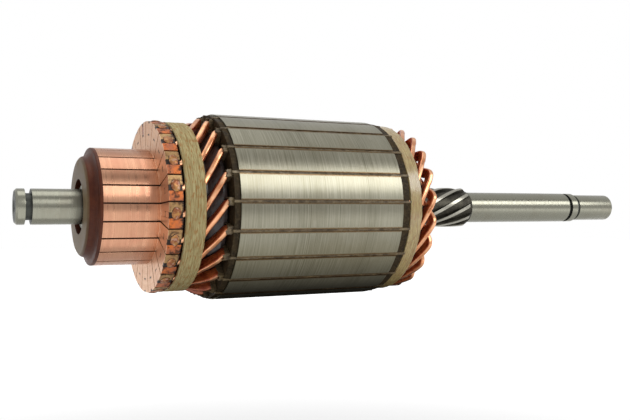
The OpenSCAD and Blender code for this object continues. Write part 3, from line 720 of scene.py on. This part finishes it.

# %% [markdown]
# The conductors were soldered into their risers. Solder and burnt flux fill each slot to just under the
# rim, and a flat bead lies over it, a little to one side, with a black edge of painted shade round its foot.

# %% Finish: solder and burnt flux, with painted glints and painted shade round the bead's foot
solder, tree, shader, coords, at = finish("soldered_joint", Metallic=0.5)
cooked = patches_on(tree, coords, 420.0, 0.36, 0.62)
painted_glint = patches_on(tree, coords, 800.0, 0.52, 0.66)
tone = blend_of(tree, cooked["Mask"], (0.50, 0.24, 0.07), (0.26, 0.075, 0.03))
# Pale pink spots on the solder are a painted highlight that stands for glints.
tone = blend_of(tree, times(tree, painted_glint["Mask"], 0.6), tone, (0.62, 0.42, 0.33))
# Near-black below a radius just over the rim's: painted shade where the bead meets the rim.
ragged = times(tree, cooked["Grain"], 0.3)
inside = fade(tree, maths(tree, "ADD", at["Radius"], ragged), RISER_R + 0.2, RISER_R + 0.36)
wire_up(tree, shader, Base_Color=blend_of(tree, inside, (0.018, 0.009, 0.006), tone),
        Roughness=fade(tree, painted_glint["Grain"], 0.3, 0.7, 0.3, 0.5))
relief(tree, shader, cooked["Grain"], 0.2, 0.6)

# %% Solder in the riser slots, and its beads
BEAD_X, BEAD_R, BEAD_ASIDE = (RISER_X0 + RISER_X1) / 2 + 0.1, RISER_R - 0.12, 1.4
joints = bmesh.new()
for i in range(SLOTS):
    for low, high in ((28.9, 30.1), (33.6, BEAD_R)):
        fill = block(joints, RISER_X0 + 0.075, RISER_X1 - 0.225, low, high, CONDUCTOR_SLOT_W - 0.04)
        revolve(joints, fill, -bar_angle(i))
    made = bmesh.ops.create_uvsphere(joints, u_segments=36, v_segments=18, radius=1)["verts"]
    lump = Vector((i * 3.1, 0, 0))
    for vert in made:
        vert.co *= 1 + 0.16 * noise.noise(vert.co * 1.6 + lump) + 0.06 * noise.noise(vert.co * 4 + lump)
    bmesh.ops.scale(joints, vec=(2.0 * MM, 0.62 * MM, 2.3 * MM), verts=made)
    middle_x = BEAD_X + 0.3 * noise.noise(lump * 1.7)
    bmesh.ops.translate(joints, vec=(middle_x * MM, -BEAD_R * MM, 0), verts=made)
    revolve(joints, made, -bar_angle(i) - BEAD_ASIDE - 0.6 * noise.noise(lump * 2.3))
make_piece("riser_joints", joints, [solder], crease=50)

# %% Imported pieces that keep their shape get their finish
for node_name, material in (("mica_separators", mica), ("commutator_bush", shaft_steel)):
    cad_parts[node_name].data.materials.clear()
    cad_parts[node_name].data.materials.append(material)

# %% [markdown]
# ## Winding
# Each coil is one hairpin of flat copper bar. It leaves its riser, runs aslant under the band, rises
# to the radius of the slot, runs through the core, and past the drive end it winds on to the tip,
# where it is folded over and comes back one layer lower. The bar is drawn out straight from a cube with
# rounded edges, cut across many times, and then every cut is carried to its place on that path.

# %% Finish: conductor copper, bare on top and varnished dark red on the sides, with painted shade on the sides
conductor_copper, tree, shader, coords, at = finish("conductor_copper", Coat_Roughness=0.2)
outer = add(tree, "ShaderNodeAttribute", attribute_name="outer").outputs["Fac"]
streaks = add(tree, "ShaderNodeAttribute", attribute_name="length").outputs["Fac"]
grain_at = vector_of(tree, times(tree, streaks, 0.25), times(tree, outer, 3.0))
drawn = noise_of(tree, grain_at, detail=4.0)
varnish = patches_on(tree, coords, 300.0, 0.35, 0.65)
# The sides are darker red than the bare top: partly the varnish, partly painted shade on the sides.
bare = fade(tree, outer, 0.86, 0.99)
side = blend_of(tree, varnish["Mask"], (0.34, 0.055, 0.018), (0.60, 0.16, 0.045))
top = blend_of(tree, fade(tree, drawn, 0.35, 0.65), (0.66, 0.29, 0.14), (0.84, 0.47, 0.27))
top = blend_of(tree, times(tree, varnish["Mask"], 0.3), top, (0.55, 0.19, 0.08))
wire_up(tree, shader, Base_Color=blend_of(tree, bare, side, top),
        Metallic=fade(tree, bare, 0.0, 1.0, 0.35, 1.0), Roughness=fade(tree, drawn, 0.3, 0.7, 0.24, 0.36),
        Coat_Weight=fade(tree, bare, 0.0, 1.0, 0.35, 0.05))
relief(tree, shader, drawn, 0.06, 0.4)

# %% The coil's path
WIRE_T, WIRE_W = 2.2, 4.4
OUTER_R, LAYER, NECK_R = 34.8, 5.0, 32.0
LEAD = 2.5 * PITCH
BEND, RISE_BEND = 0.8, 0.6
RISER_BEND_X, CUFF_BEND_X, EXIT_BEND_X = RISER_X1 + 0.9, 57.7, 139.3
RISE_X0, RISE_X1 = 51.5, 56.7
RISE_SLOPE = (OUTER_R - NECK_R) / (RISE_X1 - RISE_X0)
RISE_SHIFT = LAYER * math.tan(math.atan(RISE_SLOPE) / 2)
TIP_X = 152.6
TIP_LAG = 2.5
NOSE_REACH = 1.8
APEX_X = TIP_X + NOSE_REACH / 2
NOSE_PATH = 6.5
OUT_TURN, BACK_TURN = ((LEAD + lag) / (APEX_X - EXIT_BEND_X) for lag in (-TIP_LAG, TIP_LAG))
DRIVE_LEAD = math.atan(math.radians(LEAD / (APEX_X - EXIT_BEND_X)) * OUTER_R)


def eased(t, half):
    """0 before a bend, the distance past it after, and a parabola between."""
    return 0 if t <= -half else t if t >= half else (t + half) ** 2 / (4 * half)


def smooth(t):
    t = min(max(t, 0), 1)
    return t * t * (3 - 2 * t)


def spread(start, stop, gap):
    """Places from start to stop, about one gap apart, without stop."""
    count = max(1, round((stop - start) / gap))
    return [start + (stop - start) * k / count for k in range(count)]


def comm_end(x, slot, direction, inward, shift):
    """A point of a layer between the riser and the core: [x, radius, height angle]."""
    rise = RISE_SLOPE * (eased(x - RISE_X0 - shift, RISE_BEND) - eased(x - RISE_X1 - shift, RISE_BEND))
    turned = (eased(x - RISER_BEND_X, BEND) - eased(x - CUFF_BEND_X, BEND)) / (CUFF_BEND_X - RISER_BEND_X)
    return x, NECK_R - inward + rise, slot - direction * LEAD * (1 - turned)


def nose(w, tip):
    """A point of the hairpin's nose, w from its tip along the conductor."""
    curve = NOSE_REACH / math.cos(DRIVE_LEAD)
    t = (w / curve + 1) / 2
    back = NOSE_REACH * ((1 - t) ** 2 + t * t) if abs(w) < curve else abs(w) * math.cos(DRIVE_LEAD)
    drop = LAYER * smooth((w + 0.4 * NOSE_PATH) / (1.08 * NOSE_PATH))
    return APEX_X - back, OUTER_R - drop, tip + math.degrees(w * math.sin(DRIVE_LEAD) / OUTER_R)


def layer(slot, direction, inward, shift, rate):
    """Both straight legs of one layer, from the riser to the start of the nose."""
    xs = spread(RISER_X0 + 0.05, CORE_X0, 0.55) + spread(CORE_X0, EXIT_BEND_X - BEND, 12)
    legs = [comm_end(x, slot, direction, inward, shift) for x in xs]
    for x in spread(EXIT_BEND_X - BEND, APEX_X - NOSE_PATH * math.cos(DRIVE_LEAD), 0.5):
        legs.append((x, OUTER_R - inward, slot + direction * rate * eased(x - EXIT_BEND_X, BEND)))
    return legs


nose_w = [-NOSE_PATH + 2 * NOSE_PATH * k / 52 for k in range(53)]
coil_path = (layer(0, 1, 0, 0, OUT_TURN) + [nose(w, LEAD - TIP_LAG) for w in nose_w]
             + layer(2 * LEAD, -1, LAYER, RISE_SHIFT, BACK_TURN)[::-1])
print("coil path points", len(coil_path), "length mm",
      round(sum((around(*a) - around(*b)).length for a, b in zip(coil_path, coil_path[1:])) / MM, 1))


def carried(path):
    """For each point of a path: its place, and the directions across and out from the shaft."""
    spots = [around(*p) for p in path]
    frames = []
    for k, (spot, (x, r, angle)) in enumerate(zip(spots, path)):
        tangent = (spots[min(k + 1, len(spots) - 1)] - spots[max(k - 1, 0)]).normalized()
        out = around(0, 1, angle) / MM
        deep = (out - out.dot(tangent) * tangent).normalized()
        frames.append((spot, tangent.cross(deep), deep))
    return frames


# %% One hairpin, turned into 21 places
def drawn_bar(count, flat, deep, round_outer, round_inner):
    """A straight bar along X from 0 to count, cut at every whole number, with rounded long edges."""
    bm = bmesh.new()
    bmesh.ops.create_cube(bm, size=1)
    bmesh.ops.scale(bm, vec=(count, flat, deep), verts=bm.verts[:])
    bmesh.ops.translate(bm, vec=(count / 2, 0, 0), verts=bm.verts[:])
    for outward, rounding in ((True, round_outer), (False, round_inner)):
        long_edges = [e for e in bm.edges if reach(e) > count / 2
                      and (e.verts[0].co.z > deep * 0.45) == outward and abs(e.verts[0].co.z) > deep * 0.45]
        bmesh.ops.bevel(bm, geom=long_edges, offset=rounding, offset_type="OFFSET", segments=4, profile=0.5,
                        affect="EDGES", material=-1)
    long_edges = [e for e in bm.edges if reach(e) > count / 2]
    bmesh.ops.subdivide_edges(bm, edges=long_edges, cuts=count - 1)
    return bm


def lay_along(bm, frames, deep):
    """Carries a straight bar to its path and keeps where each point lies in the section."""
    outer = bm.verts.layers.float.new("outer")
    length = bm.verts.layers.float.new("length")
    run = 0
    runs = [0]
    for a, b in zip(frames, frames[1:]):
        run += (b[0] - a[0]).length / MM
        runs.append(run)
    for vert in bm.verts:
        k = min(max(round(vert.co.x), 0), len(frames) - 1)
        spot, across, out = frames[k]
        vert[outer] = vert.co.z / (deep / 2)
        vert[length] = runs[k]
        vert.co = spot + across * vert.co.y * MM + out * vert.co.z * MM


frames = carried(coil_path)
bm = drawn_bar(len(frames) - 1, WIRE_T, WIRE_W, 0.72, 0.45)
lay_along(bm, frames, WIRE_W)
coil_pattern = keep(bm, "coil_pattern")
for i in range(SLOTS):
    label = f"{i + 1:02d}"
    bm = turned_copy(coil_pattern, slot_angle(i))
    for vert in bm.verts:
        shake = noise.noise_vector(vert.co * 120 + Vector((i, 0, 0)))
        vert.co += shake * 0.06 * MM
    for face in bm.faces:
        face.material_index = 1 if face.calc_center_median().x < (RISER_X0 + 0.07) * MM else 0
    make_piece("hairpin_" + label, bm, [conductor_copper, riser_copper], ["coil_" + label],
               crease=50)
bpy.data.meshes.remove(coil_pattern)

# %% [markdown]
# ## Insulation
# Paper lines every slot and stands out of the core as a cuff round the conductors, frayed where it
# was cut. At the slot mouths its edges show as brown strips. End discs of dark fibre board keep the
# copper off the core, and the layer papers that show in the gaps between the conductors are near-black.

# %% Finishes: paper, fibre board, near-black gap fill
liner_paper, tree, shader, coords, at = finish("slot_paper")
fibre = add(tree, "ShaderNodeMapping", {0: coords, 3: (350.0, 1400.0, 1400.0)}).outputs[0]
grain = noise_of(tree, fibre, detail=4.0)
soaked = patches_on(tree, coords, 260.0, 0.35, 0.65)
tone = blend_of(tree, fade(tree, grain, 0.3, 0.7), (0.13, 0.085, 0.04), (0.27, 0.20, 0.10))
tone = blend_of(tree, times(tree, soaked["Mask"], 0.7), tone, (0.04, 0.028, 0.015))
wire_up(tree, shader, Base_Color=tone, Roughness=fade(tree, soaked["Grain"], 0.3, 0.7, 0.35, 0.75))
relief(tree, shader, grain, 0.12, 0.8)

disc_fibre, tree, shader, coords, at = finish("fibre_board")
shader.inputs["Specular IOR Level"].default_value = 0.12
wood = patches_on(tree, coords, 320.0, 0.3, 0.7)
dirt = patches_on(tree, coords, 900.0, 0.45, 0.7)
tone = blend_of(tree, wood["Mask"], (0.020, 0.013, 0.006), (0.060, 0.040, 0.018))
tone = blend_of(tree, times(tree, dirt["Mask"], 0.4), tone, (0.13, 0.10, 0.055))
wire_up(tree, shader, Base_Color=tone, Roughness=fade(tree, wood["Grain"], 0.3, 0.7, 0.45, 0.7))
relief(tree, shader, dirt["Grain"], 0.1, 0.6)

# Near-black with a little gloss, on the layer papers that show in the gaps between the conductors.
gap_fill_black, tree, shader, coords, at = finish("near_black_gap_fill", Coat_Weight=0.25, Coat_Roughness=0.15)
pool = patches_on(tree, coords, 380.0, 0.35, 0.65)
wire_up(tree, shader, Base_Color=blend_of(tree, pool["Mask"], (0.006, 0.003, 0.002), (0.035, 0.012, 0.006)),
        Roughness=fade(tree, pool["Grain"], 0.3, 0.7, 0.3, 0.6))
relief(tree, shader, pool["Grain"], 0.5, 0.8)

for node_name, material in (("comm_end_insulating_disc", disc_fibre), ("drive_end_insulating_disc", disc_fibre),
                            ("comm_end_layer_paper", gap_fill_black), ("drive_end_layer_paper", gap_fill_black)):
    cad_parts[node_name].data.materials.clear()
    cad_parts[node_name].data.materials.append(material)

# %% Paper liners with frayed cuffs
LINER_T = 0.25


def tube_along(bm, x_list, bottom, top, half, thickness):
    """A flat-sided paper tube round the height angle 0, open at both ends."""
    made = block(bm, x_list[0], x_list[-1], bottom, top, 2 * half)
    faces = list({f for v in made for f in v.link_faces})
    lids = [f for f in faces if abs(f.normal.x) > 0.9]
    bmesh.ops.delete(bm, geom=lids, context="FACES_ONLY")
    around_edges = [e for e in {e for v in made for e in v.link_edges} if reach(e) < 1e-6]
    bmesh.ops.subdivide_edges(bm, edges=around_edges, cuts=5)
    for x in x_list[1:-1]:
        cut_across(bm, (x, 0, 0), (1, 0, 0))
    bmesh.ops.recalc_face_normals(bm, faces=bm.faces[:])
    bmesh.ops.solidify(bm, geom=bm.faces[:], thickness=thickness * MM)


CUFF_X0 = LINER_X0 - 1.2
cuff_cuts = [CUFF_X0 + 0.35 * k for k in range(0, 12)] + [CORE_X0 + 1, CORE_X1 + 1, DRIVE_DISC_X1 - 0.6, LINER_X1]
bm = bmesh.new()
tube_along(bm, cuff_cuts, SLOT_FLOOR_R + 0.05, SLOT_SHOULDER_R - 0.05, SLOT_W / 2 - 0.05, LINER_T)
liner_pattern = keep(bm, "liner_pattern")
all_liners = bmesh.new()
for i in range(SLOTS):
    bm = turned_copy(liner_pattern, slot_angle(i))
    for vert in bm.verts:
        x, r, off = vert.co.x / MM, radius_of(vert.co), height_of(vert.co) - slot_angle(i)
        out = max(0.0, (LINER_X0 + 2.2 - x) / 3.4)
        if out > 0:
            fray = 1.5 * noise.noise(Vector((off * 0.5, r * 0.9, i * 3.7)))
            fray += noise.noise(Vector((off * 2, r * 3, i)))
            slack = noise.noise(Vector((x * 0.7, r * 0.4, i * 1.9)))
            vert.co = around(x + out * fray * 1.1, r + (0.3 + 0.5 * slack) * out * (1 if r > 33 else 0),
                             height_of(vert.co) + 0.4 * out * slack)
    pour(keep(bm, "part"), all_liners)
bpy.data.meshes.remove(liner_pattern)
make_piece("slot_papers", all_liners, [liner_paper], ["slot_liners"], crease=50)

# %% Brown strips in the slot mouths
STRIP_T = 1.1
strip_top = CORE_R - 0.32
strips = bmesh.new()
for i in range(SLOTS):
    strip = block(strips, COMM_DISC_X0 - 0.3, DRIVE_BAND_X0 - 0.1, strip_top - STRIP_T, strip_top, MOUTH_W - 0.08)
    revolve(strips, strip, -slot_angle(i))
long_edges = [e for e in strips.edges if reach(e) > 0.01]
bmesh.ops.subdivide_edges(strips, edges=long_edges, cuts=150)
top_edges = [e for e in strips.edges if reach(e) < 1e-6]
bmesh.ops.subdivide_edges(strips, edges=top_edges, cuts=2)
for vert in strips.verts:
    r = radius_of(vert.co)
    if r > strip_top - 0.3:
        lift = noise.noise(vert.co * 700) * 0.16 + noise.noise(vert.co * 180) * 0.12
        in_core = CORE_X0 - 0.2 < vert.co.x / MM < CORE_X1 + 0.2
        vert.co = around(vert.co.x / MM, r + lift - (0 if in_core else 0.1), height_of(vert.co))
make_piece("slot_strips", strips, [liner_paper], crease=60)

# %% [markdown]
# ## Binding bands
# Glass-fibre roving is wound over both ends of the winding and soaked in resin. It looks like a
# bundle of yellow-green threads under a clear coat, with rust-brown flecks, and its edges are uneven.

# %% Finishes: glass fibre in resin, dry and glazed
def band_finish(name, darker, lighter, rust, roughness, **plain):
    """Threads of two tones with rust-brown flecks along them."""
    material, tree, shader, coords, at = finish(name, **plain)
    thread_at = vector_of(tree, times(tree, at["Along"], 2.6), times(tree, at["Angle"], 0.09),
                          times(tree, at["Radius"], 0.5))
    thread = noise_of(tree, thread_at, detail=5.0, roughness=0.65)
    fleck_at = vector_of(tree, times(tree, at["Along"], 2.0), times(tree, at["Angle"], 0.22), 3.0)
    fleck = noise_of(tree, fleck_at, detail=3.0)
    fine_at = vector_of(tree, times(tree, at["Along"], 7.0), times(tree, at["Angle"], 0.07), 8.0)
    strand = noise_of(tree, fine_at, detail=3.0)
    thread = maths(tree, "ADD", times(tree, thread, 0.6), times(tree, strand, 0.4))
    tone = blend_of(tree, fade(tree, thread, 0.38, 0.6), darker, lighter)
    tone = blend_of(tree, fade(tree, fleck, 0.5, 0.66, 0.0, 0.8), tone, rust)
    wire_up(tree, shader, Base_Color=tone, Roughness=fade(tree, thread, 0.3, 0.7, *roughness))
    relief(tree, shader, thread, 0.25, 0.7)
    return material


band_dry = band_finish("band_dry_fibre", (0.34, 0.225, 0.075), (0.62, 0.54, 0.27), (0.42, 0.18, 0.04), (0.55, 0.75))
band_dry.node_tree.nodes["Principled BSDF"].inputs["Specular IOR Level"].default_value = 0.3
band_glazed = band_finish("band_glazed_fibre", (0.33, 0.20, 0.06), (0.58, 0.46, 0.18), (0.36, 0.17, 0.04),
                          (0.4, 0.6), Coat_Weight=0.7, Coat_Roughness=0.2, Coat_IOR=1.8)

# %% Bands, wound with threads that stand out
def wound_band(name, node_name, x0, x1, inner_r, outer_r, seed, material):
    """A band whose outer face is drawn thread by thread and waves a little along its edges."""
    bm = bmesh.new()
    cuts = round((x1 - x0) / 0.28)
    top = [(x0 + 0.15 + (x1 - x0 - 0.3) * k / cuts, outer_r) for k in range(cuts + 1)]
    outline = [(x0, inner_r)] + [(x0, outer_r - 0.25)] + top + [(x1, outer_r - 0.25), (x1, inner_r)]
    chain(bm, outline, closed=True)
    turn(bm, 400)
    middle, half = (x0 + x1) / 2, (x1 - x0) / 2
    for vert in bm.verts:
        x, r, angle = vert.co.x / MM, radius_of(vert.co), height_of(vert.co)
        if r < inner_r + 0.1:
            continue
        round_at = Vector((math.cos(math.radians(angle)), math.sin(math.radians(angle)), seed))
        ridge = noise.noise(Vector((x * 2.4, seed, 0)) + round_at * 3.0)
        wave = noise.noise(round_at * 5.0) * 0.22 + noise.noise(round_at * 17.0) * 0.12
        side = (x - middle) / half
        vert.co = around(x + wave * (1 if side > 0 else -0.7) * abs(side) ** 4 - 0.12 * side,
                         r - 0.13 + 0.12 * ridge, angle)
    return make_piece(name, bm, [material], [node_name], crease=70)


BAND_R, DRIVE_BAND_R = (34.25, 34.95), (37.05, 37.8)
wound_band("fibre_band_comm_end", "comm_end_binding_band", BAND_X0, BAND_X1, *BAND_R, 1.0, band_dry)
wound_band("fibre_band_drive_end", "drive_end_binding_band", DRIVE_BAND_X0, DRIVE_BAND_X1, *DRIVE_BAND_R, 9.0,
           band_glazed)

# %% [markdown]
# ## Studio

# %% Camera
camera_data = bpy.data.cameras.new("camera")
camera_data.lens = 46.16
camera_data.sensor_width = 36
camera = bpy.data.objects.new("camera", camera_data)
bpy.context.scene.collection.objects.link(camera)
camera.location = (-0.0488, -0.32696, -0.0013)
look = Vector((math.sin(math.radians(26.243)), math.cos(math.radians(26.243)), 0))
camera.rotation_euler = look.to_track_quat("-Z", "Y").to_euler()
bpy.context.scene.camera = camera

# %% [markdown]
# The part is shown as a tool maker shows it: on a plain pale floor against white, under one long soft
# box in front of the shaft and a smaller one above its commutator end. Polished steel shows what stands
# round it more than its own colour, so the light areas are placed where each cylinder should shine,
# and a dark table card under the core lets its lower half fall into shade.

# %% Floor and backdrop
FLOOR_Z = -0.25
MIDDLE = (0.13, 0.0, 0.0)


def floor_material(near, far, near_strength, far_strength):
    """A pale floor that shines white to the camera and in reflections once it is away from the part."""
    material = bpy.data.materials.new("pale_floor")
    material.use_nodes = True
    tree = material.node_tree
    shader = tree.nodes["Principled BSDF"]
    shader.inputs["Base Color"].default_value = (0.80, 0.80, 0.80, 1)
    shader.inputs["Roughness"].default_value = 0.9
    shader.inputs["Specular IOR Level"].default_value = 0.1
    coords = tree.nodes.new("ShaderNodeTexCoord").outputs["Object"]
    centred = add(tree, "ShaderNodeVectorMath", {0: coords, 1: (MIDDLE[0], 0, FLOOR_Z)}, operation="DISTANCE")
    strength = fade(tree, centred.outputs["Value"], near, far, near_strength, far_strength)
    path = tree.nodes.new("ShaderNodeLightPath").outputs
    seen = maths(tree, "MAXIMUM", path["Is Camera Ray"], path["Is Glossy Ray"])
    seen = maths(tree, "MAXIMUM", seen, path["Is Transmission Ray"])
    glow = add(tree, "ShaderNodeEmission", {"Color": (1, 1, 1, 1), "Strength": times(tree, seen, strength)})
    both = add(tree, "ShaderNodeAddShader", {0: shader.outputs[0], 1: glow.outputs[0]})
    tree.links.new(both.outputs[0], tree.nodes["Material Output"].inputs["Surface"])
    return material


def card(name, centre, size, facing, material, seen=True):
    """A flat card, with its middle and the direction that it faces, in metres."""
    bm = bmesh.new()
    bmesh.ops.create_grid(bm, x_segments=1, y_segments=1, size=0.5)
    bmesh.ops.scale(bm, vec=(size[0], size[1], 1), verts=bm.verts[:])
    turn_to = Vector(facing).to_track_quat("Z", "Y").to_matrix()
    bmesh.ops.rotate(bm, cent=(0, 0, 0), matrix=turn_to, verts=bm.verts[:])
    bmesh.ops.translate(bm, vec=centre, verts=bm.verts[:])
    mesh = keep(bm, name)
    mesh.materials.append(material)
    made = bpy.data.objects.new(name, mesh)
    bpy.context.scene.collection.objects.link(made)
    made.visible_camera = seen
    return made


card("floor", (MIDDLE[0], 0, FLOOR_Z), (10, 10), (0, 0, 1), floor_material(0.35, 1.1, 0.35, 1.0))

# %% Table card under the core
def glow_material(name, colour, strength):
    """A card's material that only glows: the material, its tree and its Strength socket."""
    material = bpy.data.materials.new(name)
    material.use_nodes = True
    tree = material.node_tree
    tree.nodes.remove(tree.nodes["Principled BSDF"])
    glow = add(tree, "ShaderNodeEmission", {"Color": (*colour, 1), "Strength": strength})
    tree.links.new(glow.outputs[0], tree.nodes["Material Output"].inputs["Surface"])
    return material, tree, glow.inputs["Strength"]


def table_material(front_y, dark_y, strength):
    """Grey at its front edge and black from the middle back, as a table in the core's own shade."""
    material, tree, socket = glow_material("shaded_table", (1.0, 0.97, 0.88), strength)
    coords = tree.nodes.new("ShaderNodeTexCoord").outputs["Object"]
    back = add(tree, "ShaderNodeSeparateXYZ", {0: coords}).outputs[1]
    tree.links.new(fade(tree, back, front_y, dark_y, strength, 0.01), socket)
    return material


card("table", (0.106, 0.02, -0.046), (0.122, 0.17), (0, 0, 1), table_material(-0.066, 0.0, 0.85), seen=False)

# %% Light
world = bpy.data.worlds.new("studio")
bpy.context.scene.world = world
world.use_nodes = True
tree = world.node_tree
path = tree.nodes.new("ShaderNodeLightPath").outputs
seen = maths(tree, "MAXIMUM", path["Is Camera Ray"], path["Is Transmission Ray"])
strength = maths(tree, "MAXIMUM", seen, fade(tree, path["Is Glossy Ray"], 0.0, 1.0, 0.3, 0.78))
tree.links.new(strength, tree.nodes["Background"].inputs["Strength"])
tree.nodes["Background"].inputs["Color"].default_value = (1, 1, 1, 1)
bpy.context.scene.view_settings.view_transform = "Standard"


def soft_box(name, centre, size, radiance, aim, tilt=0.0):
    """An area lamp that faces a point, as bright to look at as its radiance, tilted in its own plane."""
    data = bpy.data.lights.new(name, "AREA")
    data.shape = "RECTANGLE"
    data.size, data.size_y = size
    data.energy = radiance * math.pi * size[0] * size[1]
    lamp = bpy.data.objects.new(name, data)
    bpy.context.scene.collection.objects.link(lamp)
    lamp.location = centre
    facing = (Vector(aim) - Vector(centre)).to_track_quat("-Z", "Y").to_matrix()
    lamp.rotation_euler = (facing @ Matrix.Rotation(math.radians(tilt), 3, "Z")).to_euler()
    return lamp


soft_box("front_box", (0.95, -0.95, 0.69), (1.32, 0.52), 4.3, aim=(0.95, 0, 0), tilt=7)
soft_box("top_box", (0.0, 0.04, 0.60), (0.46, 0.40), 1.4, aim=(0.0, 0, 0))

# %% Cards that only reflections see
dark_card = glow_material("dark_card", (1, 1, 1), 0.22)[0]
pale_card = glow_material("pale_card", (1, 1, 1), 1.45)[0]
for name, centre, size, material in (("frame_below", (0.56, -1.14, -0.04), (0.74, 0.24), dark_card),
                                     ("frame_above", (0.92, -0.62, 1.08), (1.5, 0.22), dark_card),
                                     ("reflector", (-0.06, -0.12, -0.20), (0.36, 0.40), pale_card)):
    strip = card(name, centre, size, -Vector((0, *centre[1:])), material, seen=False)
    strip.visible_diffuse = strip.visible_shadow = False
